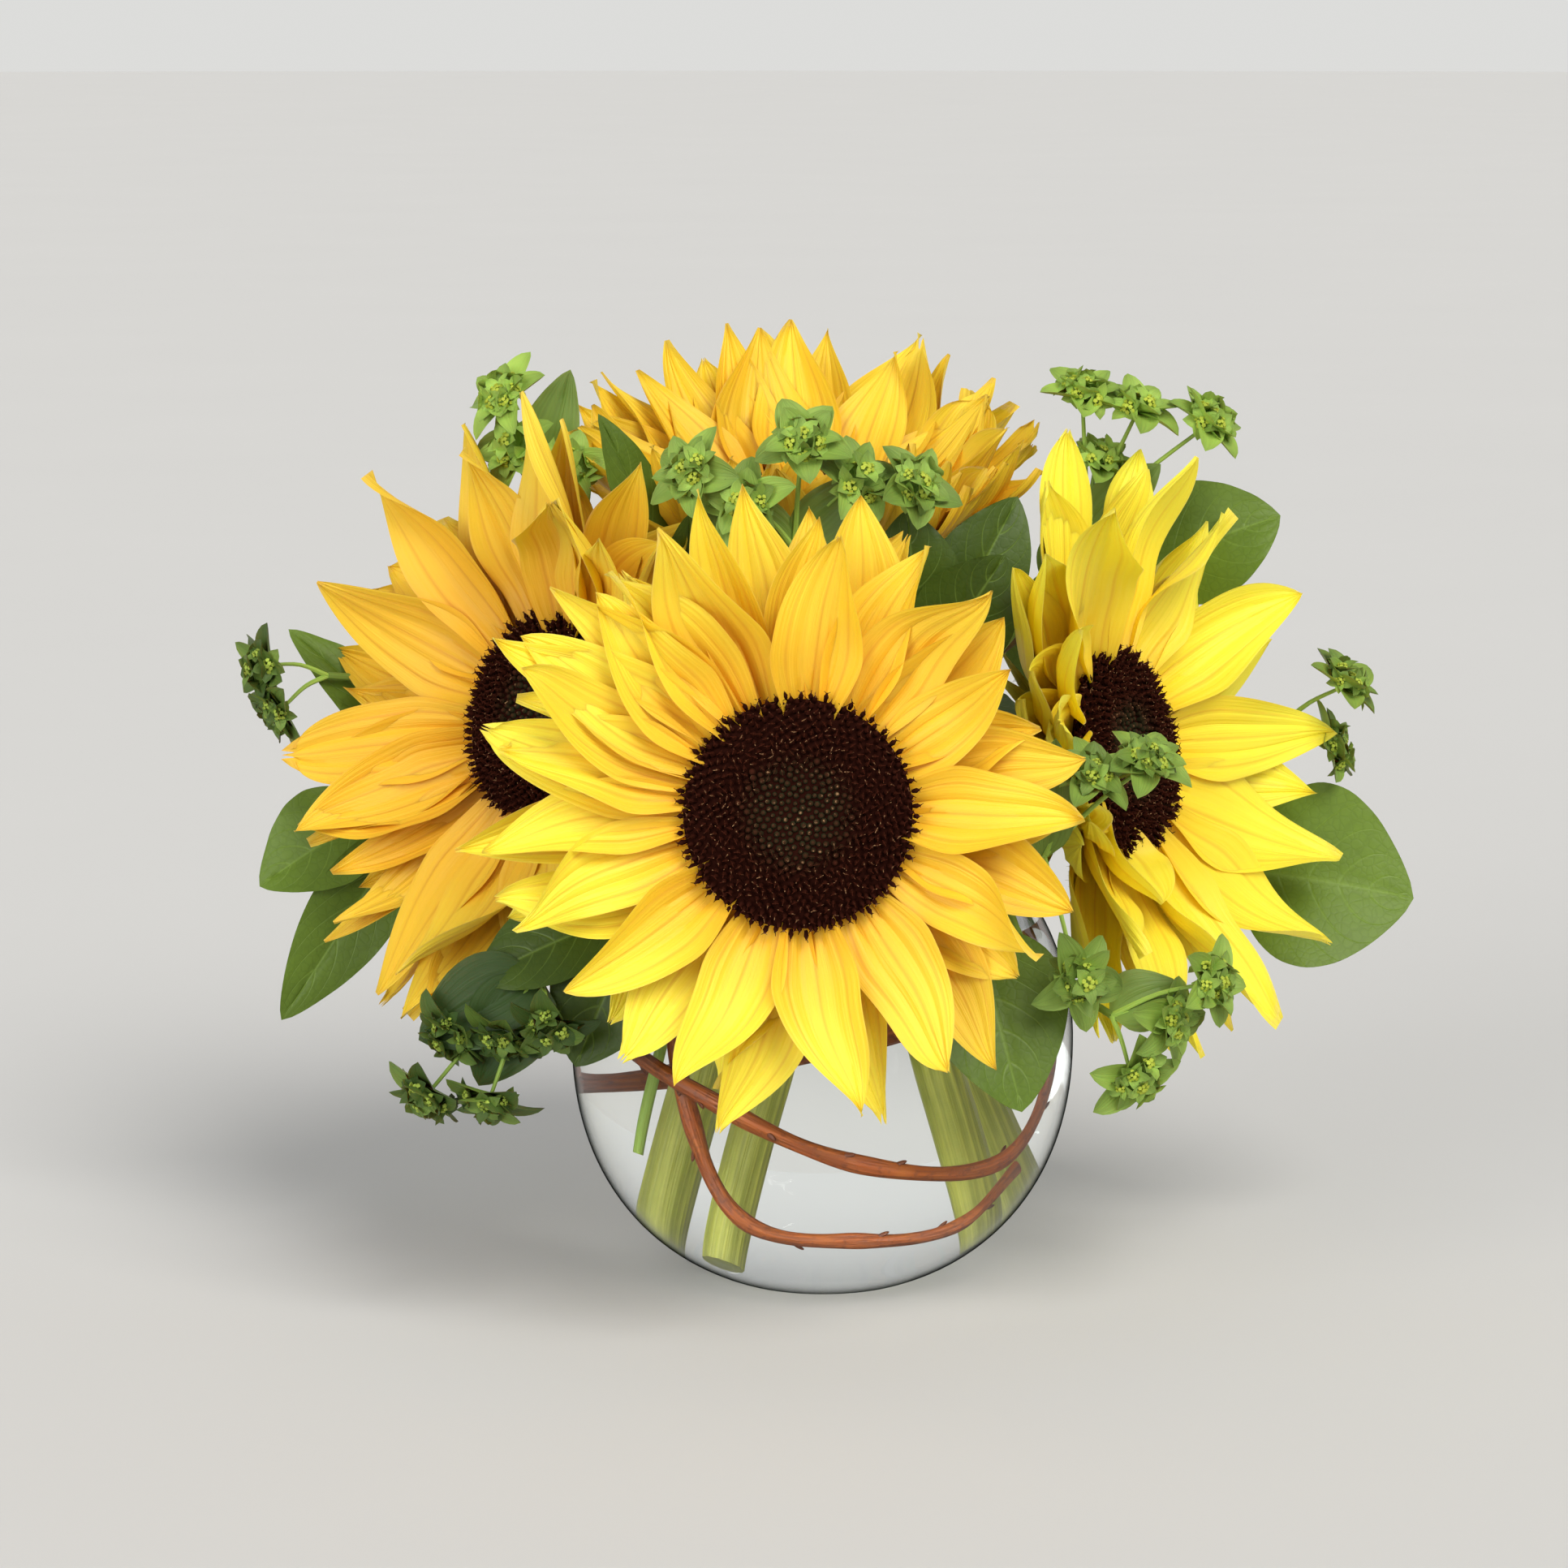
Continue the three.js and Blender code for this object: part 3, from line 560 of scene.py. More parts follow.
class Dressing(Graph):
    """One material in the making, with its Principled shader."""

    def __init__(self, name: str) -> None:
        """Starts a material with a Principled shader."""
        self.material = bpy.data.materials.new(name)
        self.material.use_nodes = True
        super().__init__(self.material.node_tree)
        self.shader = self.tree.nodes["Principled BSDF"]

    def effect(self, effect: Effect, **inputs: object) -> bpy.types.NodeSocketStandard:
        """Places a shared effect with its own values and gives its outputs."""
        made = self.node("Group", node_tree=effect.tree())
        for key, source in inputs.items():
            self.feed(made.inputs[key], source)
        return made.outputs

    def value(self, name: str) -> bpy.types.NodeSocket:
        """Gives a value that the piece carries on its points."""
        return self.node("Attribute", attribute_name=name).outputs["Fac"]

    def bump(self, height: object, strength: float, depth: float) -> None:
        """Raises the surface by a height, depth millimetres at most."""
        made = self.node("Bump", {"Height": height, "Strength": strength, "Distance": depth * MM})
        self.feed(self.shader.inputs["Normal"], made.outputs[0])

    def dress(self, **inputs: object) -> bpy.types.Material:
        """Sets the shader's sockets, named with low lines for spaces, and gives the material."""
        for key, source in inputs.items():
            self.feed(self.shader.inputs[key.replace("_", " ")], source)
        return self.material


@dataclass(frozen=True)
class PetalFinish:
    """Yellow ray petals, orange where they leave the disc, with painted shade in their creases."""

    name: str
    claw: Colour
    gold: Colour
    sun: Colour
    edge: Colour
    gold_at: float = 0.22  # shares of the length at which the colours stand
    sun_at: float = 0.6
    shift: float = 0.16  # how far tone moves them along the petal
    deepening: float = 0.8  # how far tone, partly chance and partly painted shade, turns the petal gold
    blush: float = 0.4  # strength of the patches near its root
    lined: float = 0.25
    folds: int = 3
    crease_fineness: float = 3.5
    creased: float = 0.7  # strength of the painted shade in the creases at the root
    crease_fade: float = 0.45  # and how much of that is lost toward the tip

    def material(self) -> bpy.types.Material:
        """Makes the petals' material."""
        d = Dressing(self.name)
        uv, tone = d.uv(), d.value("tone")
        run = d.minus(uv[1], d.times(tone, self.shift))
        stops = [(0.0, self.claw), (self.gold_at, self.gold), (self.sun_at, self.sun), (1.0, self.edge)]
        base = d.ramp(run, stops)
        patch = d.effect(Effect.BLOTCHES, Scale=38.0, Contrast=0.3)["Patch"]
        blush = d.times(d.minus(1.0, uv[1]), d.times(patch, self.blush))
        toned = d.mix(d.math("MAXIMUM", d.times(tone, self.deepening), blush), base, self.gold)
        line = d.effect(Effect.LINES, Lines=26.0, Length=1.4, Tone=tone)["Line"]
        lined = d.mix(d.times(line, self.lined), toned, self.gold)
        # Painted shade: along its three creases the petal is painted toward the claw's colour, most at the
        # root.
        fold = d.math("ABSOLUTE", d.math("COSINE", d.times(uv[0], self.folds * math.pi)))
        crease = d.minus(1.0, d.times(fold, self.crease_fineness), clamp=True)
        shade = d.times(crease, d.minus(self.creased, d.times(uv[1], self.crease_fade)))
        d.bump(line, strength=0.35, depth=0.35)
        return d.dress(
            Base_Color=d.mix(shade, lined, self.claw),
            Roughness=0.52,
            Specular_IOR_Level=0.3,
            Subsurface_Weight=0.3,
            Subsurface_Radius=(1.0, 0.6, 0.08),
            Subsurface_Scale=0.0025,
        )


@dataclass(frozen=True)
class DiscFinish:
    """Nearly black florets, greenish and close in the middle and maroon toward the rim."""

    heart: Colour = (0.018, 0.021, 0.009)
    ring: Colour = (0.018, 0.0036, 0.0018)
    tips: Colour = (0.060, 0.014, 0.007)
    pollen: Colour = (0.55, 0.33, 0.16)
    heart_zone: tuple[float, float] = (0.25, 0.6)  # its colour ends between these shares of the radius
    tip_colour: float = 0.75
    tip_fineness: float = 3.0
    pollen_strength: float = 0.55

    def material(self) -> bpy.types.Material:
        """Makes the florets' material."""
        d = Dressing("dark florets")
        ripe, tip = d.value("tone"), d.value("tip")
        body = d.mix(d.step(ripe, *self.heart_zone), self.heart, self.ring)
        ended = d.mix(d.times(d.math("POWER", tip, self.tip_fineness), self.tip_colour), body, self.tips)
        specks = d.effect(Effect.BLOTCHES, Scale=900.0, Contrast=0.12)["Patch"]
        bright = d.times(d.step(specks, 0.75, 1.0), d.step(tip, 0.7, 1.0))
        colour = d.mix(d.times(bright, self.pollen_strength), ended, self.pollen)
        return d.dress(Base_Color=colour, Roughness=0.8, Specular_IOR_Level=0.03)


@dataclass(frozen=True)
class StemFinish:
    """Fresh green stems with ribs, bracts and pale cut ends."""

    dark: Colour = (0.210, 0.240, 0.024)
    light: Colour = (0.640, 0.650, 0.110)
    cut: Colour = (0.50, 0.54, 0.22)

    def material(self) -> bpy.types.Material:
        """Makes the stems' material."""
        d = Dressing("green stem")
        tone, tip = d.value("tone"), d.value("tip")
        line = d.effect(Effect.LINES, Lines=34.0, Length=5.0, Tone=tone)["Line"]
        patch = d.effect(Effect.BLOTCHES, Scale=55.0, Contrast=0.25)["Patch"]
        green = d.mix(d.times(d.plus(line, patch), 0.5), self.dark, self.light)
        d.bump(line, strength=0.5, depth=0.4)
        return d.dress(
            Base_Color=d.mix(tip, green, self.cut),
            Roughness=0.45,
            Subsurface_Weight=0.06,
            Subsurface_Scale=0.003,
        )


@dataclass(frozen=True)
class LeafFinish:
    """Leathery leaves with a pale midrib and side veins, on brown twigs, with painted light and shade in
    their tone.
    """

    dark: Colour = (0.014, 0.030, 0.003)
    light: Colour = (0.200, 0.320, 0.028)
    vein: Colour = (0.230, 0.350, 0.055)
    twig: Colour = (0.120, 0.075, 0.030)
    toned: float = 0.8  # how far tone, which holds the twig's painted light and shade, lightens a leaf
    patched: float = 0.2  # and patches do
    veined: float = 0.4
    netted: float = 0.1
    net_relief: float = -0.25  # the veins sink in by 1

    def material(self) -> bpy.types.Material:
        """Makes the leaves' material."""
        d = Dressing("salal leaf")
        tone, tip = d.value("tone"), d.value("tip")
        veins = d.effect(Effect.VEINS)
        patch = d.effect(Effect.BLOTCHES, Scale=45.0, Contrast=0.3)["Patch"]
        # Painted light and shade: tone moves the leaf from dark to light green.
        shade = d.plus(d.times(tone, self.toned), d.times(patch, self.patched))
        blade = d.mix(shade, self.dark, self.light)
        veined = d.mix(d.times(veins["Vein"], self.veined), blade, self.vein)
        netted = d.mix(d.times(veins["Fine"], self.netted), veined, self.dark)
        d.bump(d.minus(d.times(veins["Fine"], self.net_relief), veins["Vein"]), strength=0.4, depth=0.3)
        return d.dress(Base_Color=d.mix(tip, netted, self.twig), Roughness=0.45, Specular_IOR_Level=0.25)


@dataclass(frozen=True)
class BractFinish:
    """Bright green bracts and stems, with yellow florets, and painted light and shade in their tone."""

    dark: Colour = (0.026, 0.060, 0.012)
    light: Colour = (0.370, 0.550, 0.090)
    floret: Colour = (0.470, 0.540, 0.055)
    shaded: float = 0.45  # share of tone, which holds the spray's painted light and shade, that counts at the tip of a bract
    heart: float = 0.85  # and how much more does at its root
    lined: float = 0.3

    def material(self) -> bpy.types.Material:
        """Makes the sprays' material."""
        d = Dressing("bupleurum bract")
        uv, tone, tip = d.uv(), d.value("tone"), d.value("tip")
        line = d.effect(Effect.LINES, Lines=18.0, Length=1.0, Tone=tone)["Line"]
        heart = d.times(d.minus(1.0, uv[1]), self.heart)
        # Painted light and shade: tone moves the bracts from dark to light green.
        green = d.mix(d.times(tone, d.plus(self.shaded, heart), clamp=True), self.dark, self.light)
        lined = d.mix(d.times(line, d.times(tone, self.lined)), green, self.light)
        d.bump(line, strength=0.4, depth=0.25)
        return d.dress(
            Base_Color=d.mix(tip, lined, self.floret),
            Roughness=0.5,
            Specular_IOR_Level=0.25,
            Subsurface_Weight=0.1,
            Subsurface_Scale=0.002,
        )


@dataclass(frozen=True)
class WillowFinish:
    """Orange-brown bark with dark cracks and pale patches."""

    bark: Colour = (0.400, 0.080, 0.007)
    dark: Colour = (0.080, 0.015, 0.003)
    pale: Colour = (0.560, 0.170, 0.022)
    worn: float = 0.55
    cracked: float = 0.5
    spotted: float = 0.4

    def material(self) -> bpy.types.Material:
        """Makes the willow's material."""
        d = Dressing("willow bark")
        tone, tip = d.value("tone"), d.value("tip")
        line = d.effect(Effect.LINES, Lines=14.0, Length=22.0, Tone=tone)["Line"]
        patch = d.effect(Effect.BLOTCHES, Scale=120.0, Contrast=0.2)["Patch"]
        spots = d.effect(Effect.BLOTCHES, Scale=520.0, Contrast=0.1)["Patch"]
        worn = d.mix(d.times(patch, self.worn), self.bark, self.pale)
        cracked = d.mix(d.times(d.minus(1.0, line), self.cracked), worn, self.dark)
        spotted = d.mix(d.times(d.step(spots, 0.8, 1.0), self.spotted), cracked, self.dark)
        d.bump(line, strength=0.6, depth=0.4)
        return d.dress(Base_Color=d.mix(tip, spotted, self.dark), Roughness=0.5)


@dataclass(frozen=True)
class ClearFinish:
    """Glass or water. It lets the lamps' light through to what stands in it.

    Where glass and water meet hardly anything is mirrored, so those faces have a low mirror value. Seen edge
    on,
    the outer glass turns into a dark film: a painted reflection of the dark surroundings that glass shows at
    its rim.
    """

    name: str
    tint: Colour
    bending: float
    mirror: float = 1.0
    edge: Colour | None = None  # painted reflection: dark tint where it is seen edge on
    rim: tuple[float, float] = (0.68, 0.95)  # how far edge on that tint begins and is full

    def material(self) -> bpy.types.Material:
        """Makes the clear material."""
        d = Dressing(self.name)
        d.dress(
            Base_Color=self.tint,
            Roughness=0.0,
            IOR=self.bending,
            Transmission_Weight=1.0,
            Specular_Tint=(self.mirror,) * 3,
        )
        through: object = d.node("LightPath").outputs["Is Shadow Ray"]
        film = d.node("BsdfTransparent", {"Color": self.tint})
        # Painted reflection: where it is seen edge on, a dark film stands in for the glass.
        if self.edge:
            rim = d.step(d.node("LayerWeight", {"Blend": 0.5}).outputs["Facing"], *self.rim)
            d.feed(film.inputs["Color"], d.mix(rim, self.tint, self.edge))
            through = d.math("MAXIMUM", through, rim)
        both = d.node("MixShader", {0: through, 1: d.shader.outputs[0], 2: film.outputs[0]})
        d.feed(d.tree.nodes["Material Output"].inputs["Surface"], both.outputs[0])
        return d.material


# The outer glass has a painted dark edge, a painted reflection.
CLEAR_GLASS = ClearFinish("clear glass", (0.99, 1.0, 0.995), 1.5, mirror=0.12, edge=(0.05, 0.065, 0.05))
WETTED_GLASS = ClearFinish("wetted glass", (0.99, 1.0, 0.995), 1.5, mirror=0.05)
CLEAR_WATER = ClearFinish("clear water", (0.99, 0.995, 0.99), 1.333, mirror=0.15)


# ---- Bowl and water ------------------------------------------------------------------------------------


@dataclass
class Bowl:
    """The blown glass bubble bowl and the water in it."""

    radius: float = 70.0
    wide_height: float = 67.5
    lower_drop: float = 71.5
    squareness: float = 2.2
    mouth_radius: float = 45.0
    wall: float = 2.6
    inner_drop: float = 63.0
    floor: float = 6.0
    lip: float = 1.5
    level: float = 100.0
    wetting: float = 0.3  # how far the water reaches into the glass, so that no air lies between them
    creep: float = 1.1  # how far the water climbs the wall
    creep_reach: float = 5.0  # how far from the wall its surface begins to climb
    creep_places: Sequence[float] = (0.15, 0.35, 0.6, 1.0)  # shares of that distance
    level_facing: float = 0.99  # faces that point up more than this belong to the floor
    steps: int = 144
    lip_steps: int = 8
    rings: int = 44
    crowding: float = 1.35  # how strongly the rings draw together near the foot

    @property
    def mouth_height(self) -> float:
        """Height where the ball is cut open."""
        return self.wide_height + math.sqrt(self.radius**2 - self.mouth_radius**2)

    def reach(self, radius: float, drop: float, height: float) -> float:
        """Radius of the curve at a height: a ball's above the widest ring, and fuller below it."""
        below = (self.wide_height - height) / drop
        if below <= 0:
            return math.sqrt(radius**2 - (height - self.wide_height) ** 2)
        return radius * (1 - below**self.squareness) ** (1 / self.squareness)

    def curve(self, radius: float, drop: float, low: float, high: float) -> list[tuple[float, float]]:
        """Points up a wall, closer together near the foot."""
        heights = [low + (high - low) * (i / self.rings) ** self.crowding for i in range(self.rings + 1)]
        return [(self.reach(radius, drop, z), z) for z in heights]

    def glass(self) -> None:
        """Blows the bowl."""
        outside = self.curve(self.radius, self.lower_drop, 0, self.mouth_height)
        inside = self.curve(self.radius - self.wall, self.inner_drop, self.floor, self.mouth_height)
        (r_out, top), (r_in, _) = outside[-1], inside[-1]
        middle, half = (r_out + r_in) / 2, (r_out - r_in) / 2
        arch = [math.pi * i / self.lip_steps for i in range(1, self.lip_steps)]
        lip = [(middle + half * math.cos(a), top + self.lip * math.sin(a)) for a in arch]
        work = Workpiece()
        work.lathe([(0, 0), *outside, *lip, *reversed(inside), (0, self.floor)], self.steps)
        bowl = work.finish("glass_bowl", ["bowl"], "bowl", CLEAR_GLASS.material())
        bowl.data.materials.append(WETTED_GLASS.material())
        for face in bowl.data.polygons:
            inward = face.normal.x * face.center.x + face.normal.y * face.center.y < 0
            floor = face.normal.z > self.level_facing
            if face.center.z < self.level * MM and (inward or floor):
                face.material_index = 1

    def water(self) -> None:
        """Fills the bowl."""
        radius, drop = self.radius - self.wall + self.wetting, self.inner_drop + self.wetting
        side = self.curve(radius, drop, self.floor - self.wetting, self.level + self.creep)
        edge = side[-1][0]
        slope = [
            (edge - self.creep_reach * s, self.level + self.creep * (1 - s) ** 3) for s in self.creep_places
        ]
        work = Workpiece()
        work.lathe([(0, side[0][1]), *side, *slope, (0, self.level)], self.steps)
        work.finish("water_in_bowl", ["water"], "water", CLEAR_WATER.material())


# ---- Sunflowers ----------------------------------------------------------------------------------------


@dataclass(frozen=True)
class Yielding:
    """A side of a bloom where petals give way to a neighbour: their rise and their length change."""

    toward: float
    spread: float
    rise: float
    length: float
    full: float = 0.6  # how deep within the spread a petal gives way fully

    def share(self, azimuth: float) -> float:
        """How strongly a petal at an azimuth gives way, from 0 to 1."""
        away = abs((azimuth - math.radians(self.toward) + math.pi) % TURN - math.pi)
        return smoothstep(1 - away / math.radians(self.spread), 0, self.full)


@dataclass
class Petal:
    """One ray petal's place and measures in its bloom, angles in radians."""

    azimuth: float
    base: float
    length: float
    width: float
    root_rise: float
    tip_rise: float
    sweep: float
    twist: float
    root: float = PETAL_ROOT

    def spine(self, t: float) -> Station:
        """Its middle line, which climbs from one angle to another."""
        out = Vector((math.cos(self.azimuth), math.sin(self.azimuth), 0))
        aside = Vector((-out.y, out.x, 0))
        rise = self.tip_rise - self.root_rise
        bend = rise if abs(rise) > LEAST_BEND else LEAST_BEND
        angle = self.root_rise + bend * t
        reach = self.length * (math.sin(angle) - math.sin(self.root_rise)) / bend
        climb = self.length * (math.cos(self.root_rise) - math.cos(angle)) / bend
        at = out * (self.root + reach) + aside * (self.sweep * self.length * t * t)
        at.z = self.base + climb
        along = out * math.cos(angle) + aside * (2 * self.sweep * t)
        along.z = math.sin(angle)
        along.normalize()
        face = out * -math.sin(angle)
        face.z = math.cos(angle)
        return Station(at, along, Quaternion(along, self.twist * t) @ face)


@dataclass(frozen=True)
class Variety:
    """How far chance varies the petals or bracts of one kind, angles in degrees."""

    length: Chance  # as a share of the usual length
    width: Chance  # and of the usual width
    rise: float  # spread of the tips' rise
    twist: float
    sweep: float = 0.3
    droop: float = 0.0  # middle of the tips' spread

    def petal(
        self,
        draw: Draw,
        azimuth: float,
        size: tuple[float, float],
        rises: tuple[float, float],
        base: float,
        root: float = PETAL_ROOT,
    ) -> Petal:
        """Draws one petal or bract.

        Args:
            draw: stream that tells them apart.
            azimuth: which way it points, in radians.
            size: usual length and width.
            rises: how steeply it leaves its root, and how steeply its tip usually stands.
            base: height of its root.
            root: distance of its root from the middle.

        Returns:
            Its place and measures.
        """
        length, width = size
        root_rise, tip_rise = rises
        return Petal(
            azimuth=azimuth,
            base=base,
            length=length * draw.span(*self.length),
            width=width * draw.span(*self.width),
            root_rise=math.radians(root_rise),
            tip_rise=math.radians(tip_rise + draw.about(self.droop, self.rise)),
            sweep=draw.about(0, self.sweep),
            twist=math.radians(draw.about(0, self.twist)),
            root=root,
        )


@dataclass
class PetalForm:
    """How one petal's surface bends, lengths in millimetres and angles in radians.

    The numbers in capitals hold for all petals. Their places are shares of the half width or of the length.
    """

    ROOT_WIDTH, OPENING, OPEN_AT = 0.42, 0.58, 0.46  # width at the root, what it gains, and up to where
    END_POWER, END_SHARPNESS, TEETH_BLUNT = 2.9, 0.75, 0.2
    END_FROM, BLUNT_WIDTH = 0.5, 0.14
    NOTCH_DEPTH, NOTCHES, NOTCH_POWER = 0.06, 1.5, 9
    GROOVED_FROM, GROOVED_FULL, TIP_SHALLOWER = 0.02, 0.25, 0.85
    INNER_GROOVE, INNER_BREADTH = 0.33, 0.13
    OUTER_GROOVE, OUTER_BREADTH, OUTER_DEPTH = 0.7, 0.12, 0.55
    CREASE_BREADTH, CREASE_DEPTH = 0.1, 0.6
    WAVES, WAVE_SLANT, BODY_WAVE = 1.3, 1.3, 0.3
    WAVES_FROM, WAVES_FULL = 0.15, 0.6
    ROLL_FROM, BEND_FROM, BEND_POWER = 0.4, 0.45, 1.6
    CUP_POWER, GATHER, GATHER_TO = 1.8, 0.5, 0.35  # how its edges rise, and draw together at the root

    cup: float  # how far its edges rise, as a share of the half width
    curl: float  # how far its end bends toward its upper side
    hook: float  # and to one side
    roll: float  # how far its end turns over
    ruffle: float  # height of its waves
    phase: float  # where they begin
    groove: float  # depth of its grooves
    broad: float  # how much broader it is than planned
    drawn_out: float  # how fine its point is
    teeth: float  # how strongly its end is toothed

    @classmethod
    def drawn(cls, draw: Draw, wild: float, fullness: float) -> PetalForm:
        """Draws a petal's form by chance, the more bent the wilder.

        Args:
            draw: stream that tells petals apart.
            wild: how much they twist and curl.
            fullness: how much broader the whole bloom's petals are than chance makes them.

        Returns:
            The petal's form.
        """
        return cls(
            cup=draw.span(0.1, 0.6),
            curl=draw.span(-8.0, 18.0) * wild,
            hook=draw.about(0.0, 15.0) * wild,
            roll=math.radians(draw.about(0.0, 84.0)) * wild,
            ruffle=draw.span(0.4, 2.2),
            phase=draw.span(0.0, TURN),
            groove=draw.span(0.95, 1.0),
            broad=draw.span(1.0, 0.26) * fullness,
            drawn_out=draw.span(0.05, 0.4),
            teeth=max(0.0, draw.span(-1.9, 2.9)),
        )

    def half_width(self, width: float, t: float) -> float:
        """Half the petal's width at t, narrow at its root, and pointed or, where it has teeth, blunt."""
        spread = self.ROOT_WIDTH + self.OPENING * smoothstep(t, 0, self.OPEN_AT)
        end = smoothstep(t, self.END_FROM, 1.0)
        sharp = self.END_SHARPNESS + self.drawn_out * end - self.TEETH_BLUNT * min(1.0, self.teeth)
        point = (1 - t**self.END_POWER) ** sharp
        blunt = self.BLUNT_WIDTH * self.teeth * end
        return width / 2 * self.broad * (spread * point + blunt)

    def run(self, u: float, t: float) -> float:
        """How far along the petal a point lies: less between the teeth of its end."""
        notch = 1 - math.cos(self.NOTCHES * math.pi * u) ** 2
        return t * (1 - self.NOTCH_DEPTH * self.teeth * notch * t**self.NOTCH_POWER)

    def lift(self, u: float, t: float) -> float:
        """Height of grooves and waves over the petal's middle line."""
        open_part = smoothstep(t, self.GROOVED_FROM, self.GROOVED_FULL)
        fade = math.sqrt(max(0.0, 1 - self.TIP_SHALLOWER * t))
        inner = math.exp(-(((abs(u) - self.INNER_GROOVE) / self.INNER_BREADTH) ** 2))
        outer = self.OUTER_DEPTH * math.exp(-(((abs(u) - self.OUTER_GROOVE) / self.OUTER_BREADTH) ** 2))
        crease = self.CREASE_DEPTH * math.exp(-((u / self.CREASE_BREADTH) ** 2))
        edge = math.sin(TURN * self.WAVES * t + self.phase + self.WAVE_SLANT * u) * u * u
        wave = edge + self.BODY_WAVE * math.sin(TURN * t + self.phase)
        waved = self.ruffle * wave * smoothstep(t, self.WAVES_FROM, self.WAVES_FULL)
        return -self.groove * (inner + outer + crease) * open_part * fade + waved

    def surface(self, petal: Petal) -> Surface:
        """Shapes a petal's skin.

        Args:
            petal: its place and measures.

        Returns:
            The point and the facing for u across and t along.
        """

        def surface(u: float, t: float) -> tuple[Vector, Vector]:
            station = petal.spine(self.run(u, t))
            turned = Quaternion(station.along, self.roll * smoothstep(t, self.ROLL_FROM, 1.0))
            side, face = turned @ station.side, turned @ station.face
            half = self.half_width(petal.width, t)
            bent = smoothstep(t, self.BEND_FROM, 1.0) ** self.BEND_POWER
            middle = station.at + station.side * (self.hook * bent) + station.face * (self.curl * bent)
            gather = self.GATHER * (1 - smoothstep(t, 0, self.GATHER_TO))
            hollow = half * (self.cup * abs(u) ** self.CUP_POWER + gather * abs(u))
            return middle + side * (u * half) + face * (hollow + self.lift(u, t)), face

        return surface


@dataclass(frozen=True)
class PetalRow:
    """A further row of petals: how many, where they are rooted, and how steeply they stand, in degrees."""

    count: int
    base: float
    root_rise: float
    lift: float  # added to the bloom's own rise
    toward: float = 0.0  # middle of the arc that they fill
    arc: float = 360.0
    length: float = 1.0


@dataclass(frozen=True)
class FloretPlan:
    """How a disc is set with florets: angles in degrees, places as shares of its radius."""

    per_mm2: float = 0.30
    zone: float = 0.42  # outside it the florets are open
    closed_before: float = 0.12  # nearer the middle by this, all are closed
    open_after: float = 0.14  # and farther out by this, all are open
    scatter: float = 0.5  # in millimetres
    sunk: float = 0.7  # in millimetres
    lean: float = 8.0
    rim: float = 0.74  # from here outward they lean over the rim
    rim_lean: float = 46.0
    sway: float = 22.0
    open_height: Chance = (0.5, 0.36)
    closed_size: Chance = (0.7, 0.34)
    swelling: float = 0.35  # how much larger closed ones are beside open ones

    @staticmethod
    def open_floret() -> bpy.types.Mesh:
        """Makes the pattern of an open floret: a tube, a point and two curled arms."""
        work = Workpiece()
        for low, high, start, length in [(0.5, 0.72, 0.0, 1.9), (0.66, 0.16, 1.9, 1.5)]:
            work.cone(6, low, high, length, Matrix.Translation((0, 0, start + length / 2)))
        for side in (-1, 1):
            lean = Matrix.Translation((0.12 * side, 0, 3.1)) @ Matrix.Rotation(0.75 * side, 4, "Y")
            work.cone(3, 0.17, 0.1, 1.1, lean @ Matrix.Translation((0, 0, 0.5)))
        for vert in work.bm.verts:
            vert[work.tip] = min(1.0, max(0.0, vert.co.z / 4.0))
        return work.pattern("open floret")

    @staticmethod
    def closed_floret() -> bpy.types.Mesh:
        """Makes the pattern of a floret that is still shut: a pointed bead."""
        work = Workpiece()
        bmesh.ops.create_uvsphere(work.bm, u_segments=6, v_segments=5, radius=0.95)
        for vert in work.bm.verts:
            vert[work.tip] = min(1.0, max(0.0, vert.co.z))
            vert.co.z *= 1.5 if vert.co.z > 0 else 1.0
        return work.pattern("closed floret")


